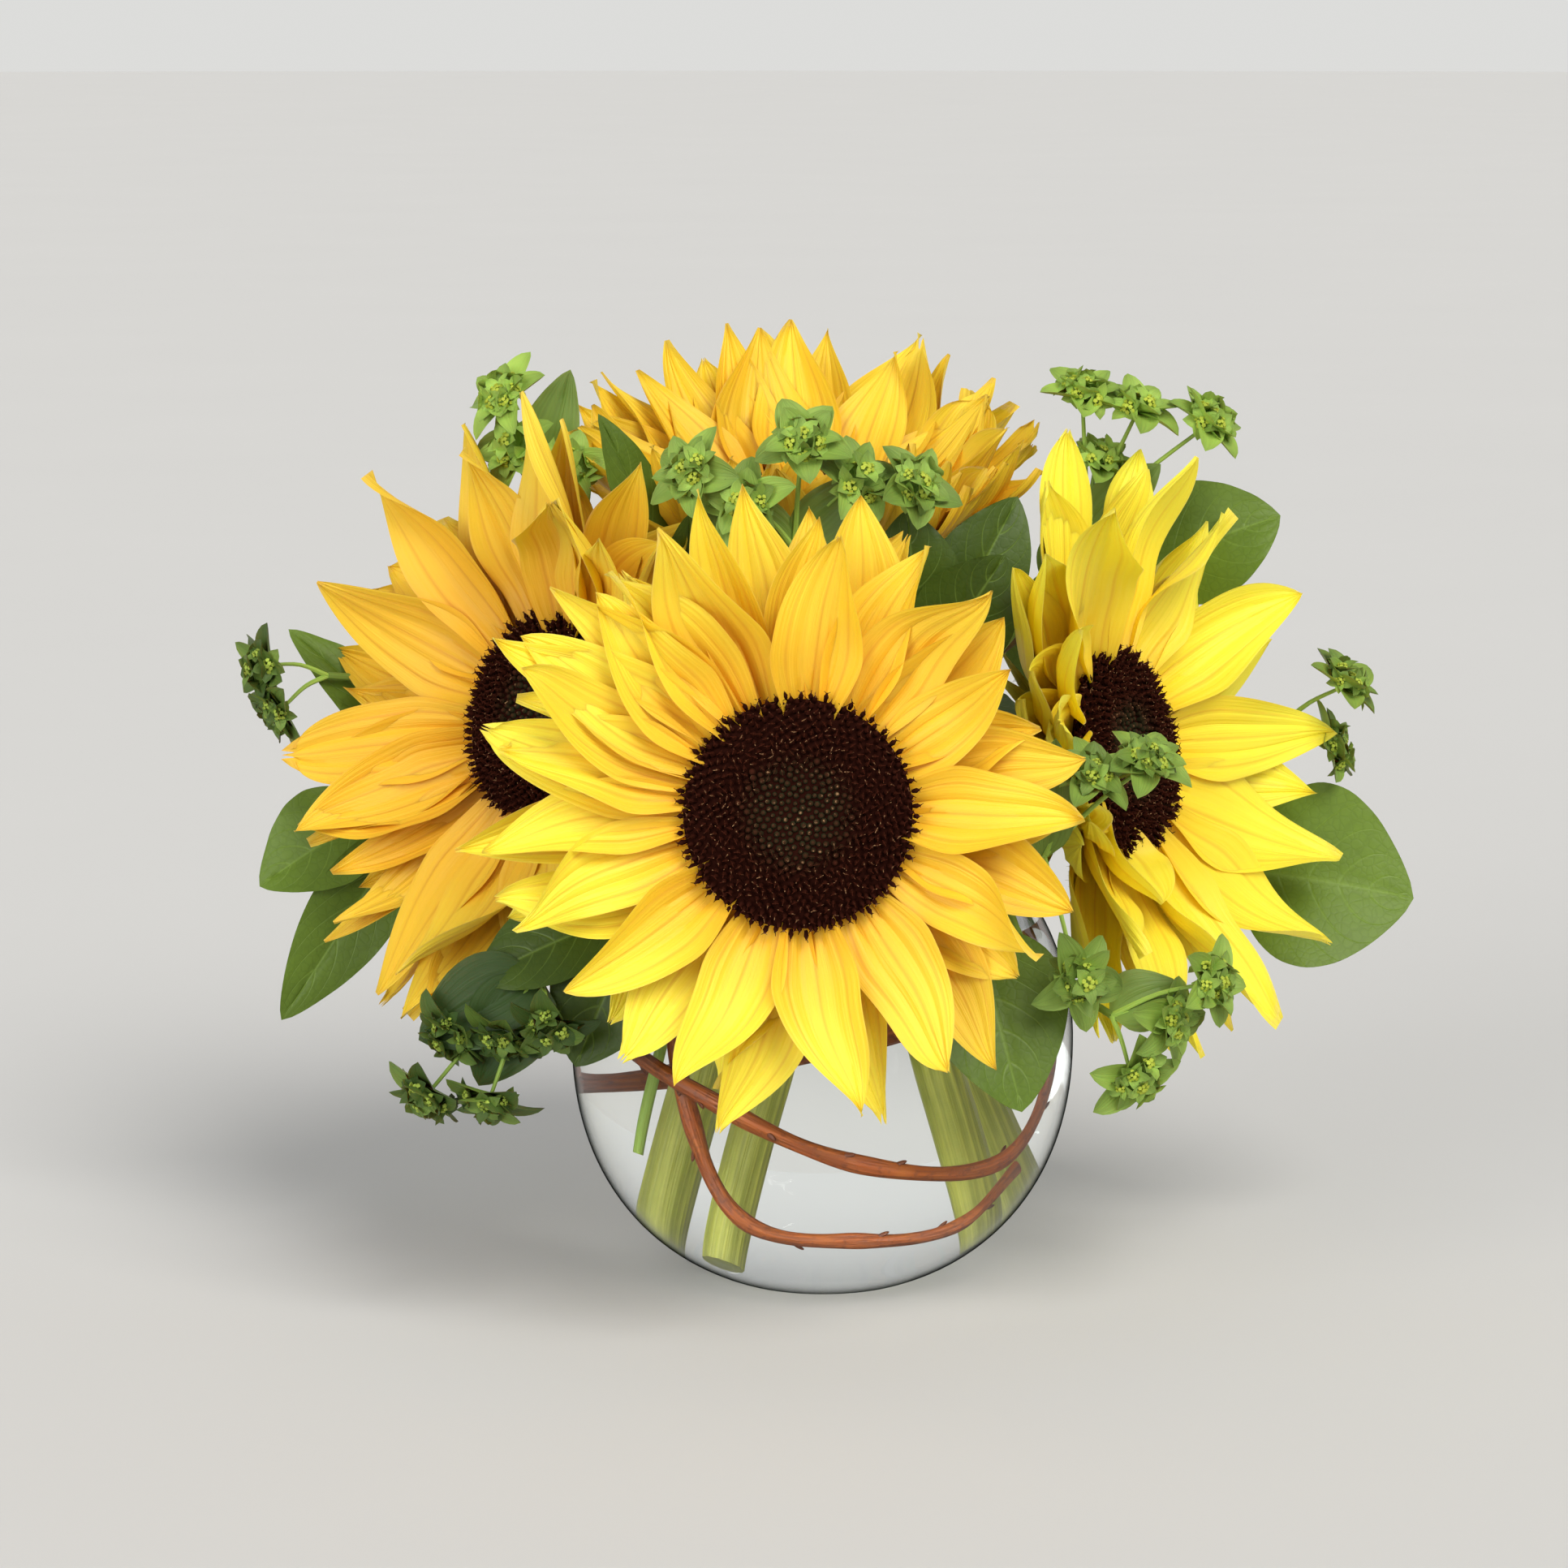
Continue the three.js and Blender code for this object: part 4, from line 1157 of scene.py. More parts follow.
@dataclass
class Sunflower:
    """One sunflower: petals, disc of florets, and stem with its calyx."""

    name: str
    at: Point
    faces: Point
    disc_radius: float
    petal_length: float
    rise: float
    seed: int
    yields: Sequence[Yielding]
    stem: Sequence[Point]
    finish: PetalFinish
    more_petals: Sequence[PetalRow]
    painted_shade_side: float  # where its petals are painted deepest gold, as painted shade, in degrees from its right
    # how strongly that painted shade turns its petals gold
    golden: float
    wild: float  # how much its petals twist and curl
    fullness: float  # how much broader they are than chance makes them
    petal_count: int = 26
    petal_width: float = 21.0
    layers: Sequence[Point] = ((-0.8, 15.0, 9.0), (-2.8, 3.0, -9.0))  # base, rise at the root, added rise
    petal_variety: Variety = Variety((0.9, 0.22), (0.88, 0.26), 26, 56)
    further_variety: Variety = Variety((0.82, 0.2), (0.8, 0.25), 14, 30)
    petal_mesh: tuple[int, int] = (18, 30)  # segments over the width and the length
    tucked: float = 5.5  # how far its root reaches in under the disc
    thickness: float = 0.55
    tone_by_chance: float = 0.45
    florets: FloretPlan = FloretPlan()
    crown: float = 10.0
    wall_top: float = 7.0
    roundness: float = 2.4  # power of the disc's dome
    dimple: float = 2.6
    dimple_breadth: float = 0.34
    disc_rings: int = 14
    disc_steps: int = 72
    calyx_depth: float = 24.0
    calyx_steps: int = 48
    bracts: int = 12  # in each row
    bract_mesh: tuple[int, int] = (4, 12)
    bract_width: float = 11.5
    bract_thickness: float = 0.7
    bract_variety: Variety = Variety((0.85, 0.25), (0.85, 0.3), 26, 40, sweep=0.2)
    stem_rings: int = 72
    stem_sides: int = 44
    foot_radius: float = 5.4
    neck_radius: float = 4.6
    flare: float = 0.16  # how much thicker the stem is at its top
    unevenness: float = 0.03
    ribs: int = 11
    rib_height: float = 0.028
    bract_hairs: int = 14
    stem_hairs: int = 420
    hairy: Chance = (0.5, 0.48)  # the stretch of the stem that has hairs

    def place(self) -> Matrix:
        """The bloom's own frame: Z the way it faces, X to its right as it is looked at."""
        return facing_frame(self.at, Vector(self.faces).normalized())

    def petals(self) -> list[Petal]:
        """Lays out the two layers of petals, placed as the solids have them."""
        draw = Draw(self.seed)
        petals = []
        for i in range(self.petal_count):
            base, root_rise, lift = self.layers[i % 2]
            azimuth = (i + draw.about(0, 0.5)) * TURN / self.petal_count
            size, rises = (self.petal_length, self.petal_width), (root_rise, self.rise + lift)
            petal = self.petal_variety.petal(draw, azimuth, size, rises, base)
            petal.length += self.tucked
            self.give_way(petal)
            petals.append(petal)
        return petals

    def fuller_petals(self) -> list[Petal]:
        """Lays out the further rows, seen in the gaps between the others."""
        draw = Draw(self.seed + Stream.FURTHER_PETALS)
        petals = []
        for row in self.more_petals:
            size = (self.petal_length * row.length, self.petal_width)
            rises = (row.root_rise, self.rise + row.lift)
            for i in range(row.count):
                turned = (i + draw.about(0.5, 0.7)) / row.count - 0.5
                azimuth = math.radians(row.toward + row.arc * turned)
                petal = self.further_variety.petal(draw, azimuth, size, rises, row.base)
                petal.length += self.tucked
                if row.arc == 360:
                    self.give_way(petal)
                petals.append(petal)
        return petals

    def give_way(self, petal: Petal) -> None:
        """Bends and shortens a petal on the sides that yield."""
        for side in self.yields:
            share = side.share(petal.azimuth)
            petal.tip_rise += share * (math.radians(side.rise) - petal.tip_rise)
            petal.length *= 1 - share * (1 - side.length)

    def make_petals(self) -> None:
        """Makes the ring of petals."""
        work = Workpiece()
        draw = Draw(self.seed + Stream.PETAL_FORMS)
        for petal in [*self.petals(), *self.fuller_petals()]:
            form = PetalForm.drawn(draw, self.wild, self.fullness)
            # Painted shade: petals on the bloom's shaded side are painted deeper gold; the rest of tone is
            # chance.
            turned = 0.5 + 0.5 * math.cos(petal.azimuth - math.radians(self.painted_shade_side))
            tone = min(1.0, draw() * self.tone_by_chance + self.golden * turned**1.5)
            work.blade(*self.petal_mesh, form.surface(petal), self.thickness, tone=tone)
        work.bm.transform(self.place())
        node = f"{self.name}_sunflower_petals"
        work.finish(f"{self.name}_ray_petals", [node], "petals", self.finish.material())

    def dome(self, out: float) -> float:
        """Height of the disc's face at a share of its radius."""
        sink = self.dimple * math.exp(-((out / self.dimple_breadth) ** 2))
        return self.wall_top + (self.crown - self.wall_top) * (1 - out**self.roundness) - sink

    def disc_bed(self, work: Workpiece) -> None:
        """Adds the solid heart of the disc, that the florets stand in."""
        crowding, within, below = 0.8, 0.985, 0.6
        r = self.disc_radius
        shares = [math.cos(i / self.disc_rings * math.pi / 2) ** crowding for i in range(self.disc_rings)]
        face = [(r * within * share, self.dome(share) - below) for share in shares]
        back = [(0, 1), (20, 1), (r - 1.4, 5)]
        work.lathe([*back, *face, (0, self.dome(0) - below)], self.disc_steps, tone=1.0)

    def make_disc(self) -> None:
        """Makes the disc, its florets set in crossing spirals."""
        work = Workpiece()
        self.disc_bed(work)
        plan, r = self.florets, self.disc_radius
        opened, closed = plan.open_floret(), plan.closed_floret()
        draw = Draw(self.seed + Stream.FLORETS)
        count = round(math.pi * r * r * plan.per_mm2)
        for i in range(count):
            out = math.sqrt((i + 0.5) / count) * (1 + draw.about(0, plan.scatter) / r)
            angle = i * GOLDEN_ANGLE + draw.about(0, plan.scatter) / (r * out)
            grown = smoothstep(out, plan.zone - plan.closed_before, plan.zone + plan.open_after)
            lean = plan.lean * out + plan.rim_lean * smoothstep(out, plan.rim, 1.0)
            lean += draw.about(0, plan.sway)
            at = Matrix.Translation((r * out, 0, self.dome(out) - plan.sunk))
            spin = Matrix.Rotation(angle, 4, "Z") @ at
            tilt = Matrix.Rotation(math.radians(lean), 4, "Y") @ Matrix.Rotation(draw.span(0, TURN), 4, "Z")
            if draw() < grown:
                size = Matrix.Diagonal((1, 1, draw.span(*plan.open_height), 1))
                work.stamp(opened, spin @ tilt @ size, tone=out)
            else:
                size = Matrix.Scale(draw.span(*plan.closed_size) + plan.swelling * grown, 4)
                work.stamp(closed, spin @ tilt @ size, tone=out)
        work.bm.transform(self.place())
        node = f"{self.name}_sunflower_disc"
        work.finish(f"{self.name}_disc_florets", [node], "disc", DiscFinish().material())

    def make_bracts(self, work: Workpiece) -> None:
        """Adds the calyx: a cup with three rows of pointed bracts, in the bloom's own frame."""
        # radius and height up the cup; radius and height of the roots, length and rise of each row's bracts
        cup = [(0, -26), (4.9, -25), (6.6, -21), (9.5, -17), (15.5, -13.2), (20.5, -9), (23.6, -4.4)]
        work.lathe([*cup, (21, -0.4), (15, 0.4), (0, 0.4)], self.calyx_steps, tone=0.4)
        draw = Draw(self.seed + Stream.CALYX)
        hair = self.hair()
        rows = [(17.0, -9.2, 31.0, 2.0), (15.0, -11.6, 27.0, -6.0), (12.0, -13.6, 20.0, -16.0)]
        steeper = 8  # how much more than its tip the root of a bract rises, in degrees
        for row, (root, base, length, rise) in enumerate(rows):
            for i in range(self.bracts):
                azimuth = (i + row / 2 + draw.about(0, 0.3)) * TURN / self.bracts
                size, rises = (length, self.bract_width), (rise + steeper, rise)
                bract = self.bract_variety.petal(draw, azimuth, size, rises, base, root)
                surface = self.bract_surface(bract)
                work.blade(*self.bract_mesh, surface, self.bract_thickness, tone=draw())
                for _ in range(self.bract_hairs):
                    u, t = draw.about(0, 2), draw.span(0.1, 0.8)
                    at, face = surface(u, t)
                    out = at - surface(0.0, t)[0]
                    away = (out.normalized() * abs(u) - face * draw.span(0.2, 0.8)).normalized()
                    self.plant(work, hair, at, away, draw.span(1.0, 1.2))

    @staticmethod
    def hair() -> bpy.types.Mesh:
        """Makes the pattern of a hair: a spike of a few faces."""
        work = Workpiece()
        for vert in work.cone(3, 0.11, 0.02, 1.0, Matrix.Translation((0, 0, 0.45))):
            vert[work.tip] = 1.0
        return work.pattern("stem hair")

    @staticmethod
    def plant(work: Workpiece, hair: bpy.types.Mesh, at: Vector, away: Vector, length: float) -> None:
        """Adds a hair that stands away from a point."""
        turn = UP.rotation_difference(away).to_matrix().to_4x4()
        work.stamp(hair, Matrix.Translation(at) @ turn @ Matrix.Diagonal((1, 1, length, 1)), tone=0.8)

    @staticmethod
    def bract_surface(bract: Petal) -> Surface:
        """Shapes a bract: broad at its foot and drawn out to a fine point."""

        def surface(u: float, t: float) -> tuple[Vector, Vector]:
            station = bract.spine(t)
            half = bract.width / 2 * (1 - t**1.25) ** 1.25 * (0.75 + 0.5 * t)
            return station.at + station.side * (u * half) + station.face * (0.3 * half * u * u), station.face

        return surface

    def make_stem(self) -> None:
        """Makes the ribbed stem with its calyx."""
        work = Workpiece()
        self.make_bracts(work)
        work.bm.transform(self.place())
        back = -Vector(self.faces).normalized()
        neck = [Vector(self.at) + back * d for d in (self.calyx_depth + 12, self.calyx_depth - 3)]
        rings = rings_along(Course([*self.stem, *neck]), self.stem_rings)

        def radius(t: float, angle: float) -> float:
            slim = self.foot_radius + (self.neck_radius - self.foot_radius) * t
            flare = self.flare * smoothstep(t, 0.9, 1.0)
            uneven = self.unevenness * math.sin(9 * t + self.seed)
            return slim * (1 + flare + uneven) * (1 + self.rib_height * math.cos(self.ribs * angle + 2 * t))

        work.tube(rings, self.stem_sides, radius, tone=0.6, end_tip=0.9)
        draw, hair = Draw(self.seed + Stream.STEM_HAIRS), self.hair()
        for _ in range(self.stem_hairs):
            ring = rings[int(draw.span(*self.hairy) * len(rings))]
            angle = draw.span(0, TURN)
            outward = ring.outward(angle)
            away = (outward + ring.along * draw.about(0, 0.8)).normalized()
            self.plant(work, hair, ring.at + outward * radius(ring.t, angle), away, draw.span(1.0, 1.4))
        node = f"{self.name}_sunflower_stem"
        work.finish(f"{self.name}_stem_and_calyx", [node], "stem", StemFinish().material())

    def build(self) -> None:
        """Makes the whole flower."""
        self.make_petals()
        self.make_disc()
        self.make_stem()


# ---- Willow, salal and bupleurum -----------------------------------------------------------------------


@dataclass
class Willow:
    """Curly willow twigs wound round the inside of the bowl."""

    twigs: Sequence[Sequence[Point]]
    radius: float = 2.8
    taper: float = 0.35
    knob: float = 0.11
    lumps: float = 0.05
    ripples: float = 0.03
    sides: int = 14
    rings_per_knob: int = 7
    bud_gap: float = 24.0
    bud_due: float = 0.8  # share of the gap after which the next bud comes
    bud_shift: float = 6.0  # how much nearer chance sets the one after it
    bud_lean: float = 0.55  # how far it stands off the twig
    bud_depth: float = 0.85  # share of the radius where a bud is rooted

    @staticmethod
    def bud() -> bpy.types.Mesh:
        """Makes the pattern of a bud, pointing up its twig."""
        work = Workpiece()
        bmesh.ops.create_uvsphere(work.bm, u_segments=8, v_segments=6, radius=1.0)
        for vert in work.bm.verts:
            vert[work.tip] = 0.75
            vert.co = Vector((vert.co.x * 0.85, vert.co.y * 0.6, vert.co.z * 2.0 + 0.6))
        return work.pattern("willow bud")

    def make_twig(self, number: int, points: Sequence[Point]) -> None:
        """Makes one twig with its knobs and buds.

        Args:
            number: its number in the node's name.
            points: its course.
        """
        work = Workpiece()
        draw = Draw(Stream.WILLOW + number)
        knobs = (len(points) - 1) * 2
        rings = rings_along(Course(points), knobs * self.rings_per_knob)

        def radius(t: float, angle: float) -> float:
            knobbly = 1 + self.knob * math.cos(math.pi * knobs * t)
            lumps = self.lumps * math.sin(3 * angle + 40 * t + number)
            ripples = self.ripples * math.sin(90 * t + 2 * angle)
            return self.radius * (1 - self.taper * t) * knobbly * (1 + lumps + ripples)

        work.tube(rings, self.sides, radius, tone=draw(), end_tip=0.3)
        bud, run = self.bud(), 0.0
        for before, ring in zip(rings, rings[1:-4]):
            run += (ring.at - before.at).length
            if run < self.bud_gap * self.bud_due:
                continue
            run = draw.span(0, self.bud_shift)
            angle = draw.span(0, TURN)
            outward = ring.outward(angle)
            up = (ring.along + outward * self.bud_lean).normalized()
            side = up.cross(outward).normalized()
            turn = Matrix((side, side.cross(up) * -1, up)).transposed().to_4x4()
            root = ring.at + outward * (radius(ring.t, angle) * self.bud_depth)
            work.stamp(bud, Matrix.Translation(root) @ turn, tone=0.5)
        work.finish(f"willow_twig_{number}", [f"willow_{number}"], "willow", WillowFinish().material())

    def build(self) -> None:
        """Makes all the twigs."""
        for number, points in enumerate(self.twigs, 1):
            self.make_twig(number, points)


@dataclass(frozen=True)
class LeafPlan:
    """Where a leaf ends, how broad it is, the way its upper side faces, and where it leaves its stem."""

    tip: Point
    breadth: float
    faces: Point
    start: float = 1.0


@dataclass
class Foliage:
    """What salal and bupleurum share: a thin stem over the lip of the bowl, and leaves."""

    bearing: float
    course: Sequence[Point]
    foot: Point | None = None
    stem_radius: float = 1.5
    tip_radius: float = 1.0
    stem_rings: int = 40
    inset: float = 36.0  # from the bowl's axis at the mouth
    foot_height: float = 84.0
    straight: float = 103.0
    nodes: float = 0.06  # how much the stem swells along its length
    corners: float = 0.04  # and is three-cornered
    mouth: float = field(default_factory=lambda: Bowl().mouth_height)

    def line(self) -> Course:
        """The stem's course: an upright foot in the water, then over the lip."""
        angle = math.radians(self.bearing)
        x, y = self.inset * math.cos(angle), self.inset * math.sin(angle)
        foot = self.foot or (x, y, self.foot_height)
        return Course([foot, (x, y, self.straight), (x, y, self.mouth), *self.course])

    def make_stem(self, work: Workpiece, sides: int, tone: float, tip: float) -> None:
        """Adds the thin stem."""
        slim = self.tip_radius - self.stem_radius

        def radius(t: float, angle: float) -> float:
            uneven = 1 + self.nodes * math.sin(40 * t) + self.corners * math.cos(3 * angle)
            return (self.stem_radius + slim * t) * uneven

        work.tube(rings_along(self.line(), self.stem_rings), sides, radius, tone, tip)


@dataclass
class LeafForm:
    """The outline and the relief of a leaf."""

    FOLD_POWER = 1.2
    MIDRIB_DEPTH, MIDRIB_BREADTH = 0.5, 0.07
    RELIEF_FROM, RELIEF_FULL, RELIEF_FADES = 0.02, 0.15, 0.85
    VEINS_FROM, VEINS_FULL = 0.05, 0.4
    WAVES, OTHER_SIDE = 9, 2  # how fast its edge waves, and how far the other edge is behind

    petiole: float = 1.1
    stalk: float = 0.17
    arch: float = 0.12
    fold: float = 0.16
    broad_low: float = 0.8
    fullness: float = 0.75
    pairs: float = 7.0
    slant: float = 2.4
    pucker: float = 0.16
    wave: float = 0.8

    def surface(self, root: Vector, plan: LeafPlan, phase: float) -> Surface:
        """Shapes a leaf's skin from its root to its tip.

        Args:
            root: where it leaves the stem.
            plan: where it ends, how broad it is and which way it faces.
            phase: shifts the waves of its edge.

        Returns:
            The point and the facing for u across and t along.
        """
        end, up = Vector(plan.tip), Vector(plan.faces).normalized()
        middle = root.lerp(end, 0.5) + up * ((end - root).length * self.arch)

        def surface(u: float, t: float) -> tuple[Vector, Vector]:
            at = root * (1 - t) ** 2 + middle * (2 * t * (1 - t)) + end * (t * t)
            along = ((middle - root) * (1 - t) + (end - middle) * t).normalized()
            face = (up - along * up.dot(along)).normalized()
            side = along.cross(face).normalized()
            s = max(0.0, (t - self.stalk) / (1 - self.stalk))
            full = plan.breadth / 2 * max(0.0, math.sin(math.pi * s**self.broad_low)) ** self.fullness
            half = self.petiole * (1 - s) + full
            grown = smoothstep(s, self.RELIEF_FROM, self.RELIEF_FULL)
            grown *= 1 - smoothstep(s, self.RELIEF_FADES, 1.0)
            midrib = self.MIDRIB_DEPTH * grown * math.exp(-((u / self.MIDRIB_BREADTH) ** 2))
            vein = math.cos(TURN * (t * self.pairs - abs(u) ** VEIN_BOW * self.slant))
            other = self.OTHER_SIDE if u > 0 else 0
            lift = self.fold * abs(u) ** self.FOLD_POWER * half - midrib
            lift += self.pucker * vein * grown * smoothstep(abs(u), self.VEINS_FROM, self.VEINS_FULL)
            lift += self.wave * grown * u * u * math.sin(self.WAVES * t + phase + other)
            return at + side * (u * half) + face * lift, face

        return surface


@dataclass
class Salal(Foliage):
    """A leafy twig of salal."""

    leaves: Sequence[LeafPlan] = ()
    leaf_mesh: tuple[int, int] = (14, 34)
    # Painted light and shade: how light its leaves are painted, low for twigs deep in the bouquet's shade,
    # high for those in the light.
    shade: float = 0.3
    thickness: float = 0.5
    number: int = 0

    def build(self) -> None:
        """Makes the twig with its leaves."""
        work = Workpiece()
        draw = Draw(Stream.SALAL + self.number)
        form = LeafForm()
        line = self.line()
        self.make_stem(work, sides=10, tone=0.5, tip=1.0)
        for leaf in self.leaves:
            surface = form.surface(line.at(leaf.start), leaf, draw.span(0, TURN))
            # Painted light and shade for the whole twig, with a little chance.
            tone = min(1.0, self.shade + draw.about(0, 0.25))
            work.blade(*self.leaf_mesh, surface, self.thickness, tone=tone)
        node = f"salal_{self.number}"
        work.finish(f"salal_twig_{self.number}", [node], "salal", LeafFinish().material())


@dataclass
class Bupleurum(Foliage):
    """A spray of bupleurum: heads of bracts and florets on rays, and round leaves."""

    heads: Sequence[Point] = ()
    leaves: Sequence[LeafPlan] = ()
    number: int = 0
    head_radius: float = 12.0
    bracts: int = 5
    ray: float = 0.8
    ray_taper: float = 0.35
    head_turn: float = 27.0
    nod: float = 26.0  # how far a head may lean off the way it faces, in degrees
    clusters: int = 7
    florets: int = 9
    bract_rings: Sequence[Point] = ((1.12, 9.8, 4), (0.92, 8.0, 30))  # share of head_radius, width, rise
    small_bract: tuple[float, float] = (6.6, 4.6)  # length and width in a cluster
    small_rise: float = 26.0
    variety: Variety = Variety((0.88, 0.24), (0.86, 0.28), 40, 40, droop=-14)
    root_rise: float = 14.0  # how much more than its tip the root of a bract rises
    bract_tone: float = 0.4  # how far chance lightens it
    bract_mesh: tuple[int, int] = (4, 9)
    small_mesh: tuple[int, int] = (2, 4)
    leaf_mesh: tuple[int, int] = (10, 18)
    cluster_out: Chance = (0.45, 0.5)  # how far a cluster stands out, from 0 upright
    cluster_lean: float = 1.3
    cluster_size: Chance = (0.62, 0.3)
    cluster_reach: Chance = (3.4, 2.6)
    floret_lean: float = 0.8
    floret_reach: Chance = (2.2, 0.9)
    bract_thickness: float = 0.35
    leaf_thickness: float = 0.4
    # Painted light and shade: how light its bracts, leaves and florets are painted, low for sprays deep in
    # the bouquet's shade.
    shade: float = 0.45

    def head_place(self, fork: Vector, head: Point, turn: float) -> Matrix:
        """Gives a head's own frame, Z the way it faces."""
        at = Vector(head)
        outward = (at - BOUQUET_HEART).normalized()
        facing = ((at - fork).normalized() + outward + TOWARD_VIEWER).normalized()
        lean = Matrix.Rotation(math.radians(self.nod * math.sin(2.1 * turn + self.number)), 4, "X")
        return facing_frame(at, facing) @ lean @ Matrix.Rotation(math.radians(turn), 4, "Z")

    @staticmethod
    def bract_surface(bract: Petal) -> Surface:
        """Shapes a bract: egg-shaped, cupped and pointed."""

        def surface(u: float, t: float) -> tuple[Vector, Vector]:
            station = bract.spine(t)
            half = bract.width / 2 * math.sin(math.pi * t**0.86) ** 0.62 * (1 - 0.2 * t) + 0.35 * (1 - t)
            lift = half * 0.4 * u * u - 0.12 * math.cos(4 * math.pi * u) * math.sin(math.pi * t)
            return station.at + station.side * (u * half) + station.face * lift, station.face

        return surface

    def add_bracts(
        self, work: Workpiece, size: tuple[float, float], rise: float, draw: Draw, fine: bool
    ) -> None:
        """Adds a ring of bracts round the origin.

        Args:
            work: the mesh that they join.
            size: usual length and width of a bract.
            rise: how steeply they stand, in degrees.
            draw: stream that tells them apart.
            fine: whether they are large enough for a fine mesh.
        """
        mesh = self.bract_mesh if fine else self.small_mesh
        for i in range(self.bracts):
            azimuth = (i + draw.about(0, 0.4)) * TURN / self.bracts
            rises = (rise + self.root_rise, rise)
            bract = self.variety.petal(draw, azimuth, size, rises, base=0.2, root=0.4)
            # Painted light and shade for the spray, with chance on top.
            tone = self.shade + self.bract_tone * draw()
            work.blade(*mesh, self.bract_surface(bract), self.bract_thickness, tone=tone)

    def umbellet(self, draw: Draw) -> bpy.types.Mesh:
        """Makes the pattern of the smallest cluster: florets held over a cup of bracts."""
        work = Workpiece()
        self.add_bracts(work, self.small_bract, self.small_rise, draw, fine=False)
        for i in range(self.florets):
            out = math.sqrt((i + 0.3) / self.florets)
            around = Matrix.Rotation(i * GOLDEN_ANGLE, 4, "Z")
            lean = around @ Matrix.Rotation(out * self.floret_lean, 4, "Y")
            at = lean @ Matrix.Translation((0, 0, draw.span(*self.floret_reach)))
            for vert in work.cone(5, 0.4, 0.8, 1.1, at):
                # Painted shade: in darker-painted sprays the florets show less yellow.
                vert[work.tip] = min(1.0, 0.4 + self.shade)
                vert[work.tone] = draw()
        return work.pattern("bupleurum umbellet")

    def make_head(
        self, work: Workpiece, place: Matrix, draw: Draw, patterns: Sequence[bpy.types.Mesh]
    ) -> None:
        """Adds one head: a ring of large bracts, and small clusters set a little way over it.

        Args:
            work: the spray's mesh.
            place: the head's own frame.
            draw: stream that tells heads apart.
            patterns: the small clusters to choose from.
        """
        ring = Workpiece()
        for share, width, rise in self.bract_rings:
            self.add_bracts(ring, (self.head_radius * share, width), rise, draw, fine=True)
        mesh = ring.pattern("bract ring")
        mesh.transform(place)
        work.bm.from_mesh(mesh)
        bpy.data.meshes.remove(mesh)
        turn = draw.span(0, TURN)
        for i in range(self.clusters):
            out = 0.0 if i == 0 else draw.span(*self.cluster_out)
            around = Matrix.Rotation(turn + i * TURN / (self.clusters - 1), 4, "Z")
            lean = around @ Matrix.Rotation(out * self.cluster_lean, 4, "Y")
            size = Matrix.Scale(draw.span(*self.cluster_size), 4)
            reach = Matrix.Translation((0, 0, draw.span(*self.cluster_reach)))
            spin = Matrix.Rotation(draw.span(0, TURN), 4, "Z")
            pattern = patterns[int(draw() * len(patterns)) % len(patterns)]
            work.stamp(pattern, place @ lean @ reach @ spin @ size)

    def build(self) -> None:
        """Makes the spray."""
        work = Workpiece()
        draw = Draw(Stream.BUPLEURUM + self.number)
        fork = self.line().at(1)
        form = LeafForm(stalk=0.04, pucker=0.12, wave=0.4, broad_low=0.7, pairs=5, slant=2.8)
        self.make_stem(work, sides=8, tone=0.8, tip=0.0)
        for leaf in self.leaves:
            surface = form.surface(fork, leaf, draw.span(0, TURN))
            # Painted light and shade: leaves get half to nine tenths of the spray's painted light.
            work.blade(*self.leaf_mesh, surface, self.leaf_thickness, tone=self.shade * draw.span(0.5, 0.4))
        patterns = [self.umbellet(draw) for _ in range(3)]
        for i, head in enumerate(self.heads):
            sag = (fork + Vector(head)) / 2 + Vector((0, 0, 1.5))
            rings = rings_along(Course([fork, sag, head]), 8)
            work.tube(rings, 6, lambda t, angle: self.ray * (1 - self.ray_taper * t), tone=0.9)
            self.make_head(work, self.head_place(fork, head, i * self.head_turn), draw, patterns)
        node = f"bupleurum_{self.number}"
        work.finish(f"bupleurum_spray_{self.number}", [node], "bupleurum", BractFinish().material())


# ---- The bouquet ---------------------------------------------------------------------------------------

# Four yellows for the four blooms. Beside their own colour they hold painted light and shade: LEMON is
# painted bright for the right bloom, which faces the light, and HONEY darker for the left one, which faces
# away from it.
GOLD = PetalFinish(
    "golden petals", (0.68, 0.28, 0.010), (0.88, 0.49, 0.026), (0.98, 0.80, 0.055), (0.98, 0.86, 0.07)
)
LEMON = PetalFinish(
    "lemon petals", (0.76, 0.38, 0.012), (0.95, 0.66, 0.028), (0.98, 0.86, 0.060), (0.98, 0.89, 0.07)
)
AMBER = PetalFinish(
    "amber petals", (0.44, 0.15, 0.006), (0.80, 0.41, 0.016), (0.94, 0.64, 0.038), (0.95, 0.70, 0.05)
)
HONEY = PetalFinish(
    "honey petals", (0.56, 0.21, 0.007), (0.80, 0.41, 0.020), (0.89, 0.62, 0.045), (0.90, 0.69, 0.06)
)

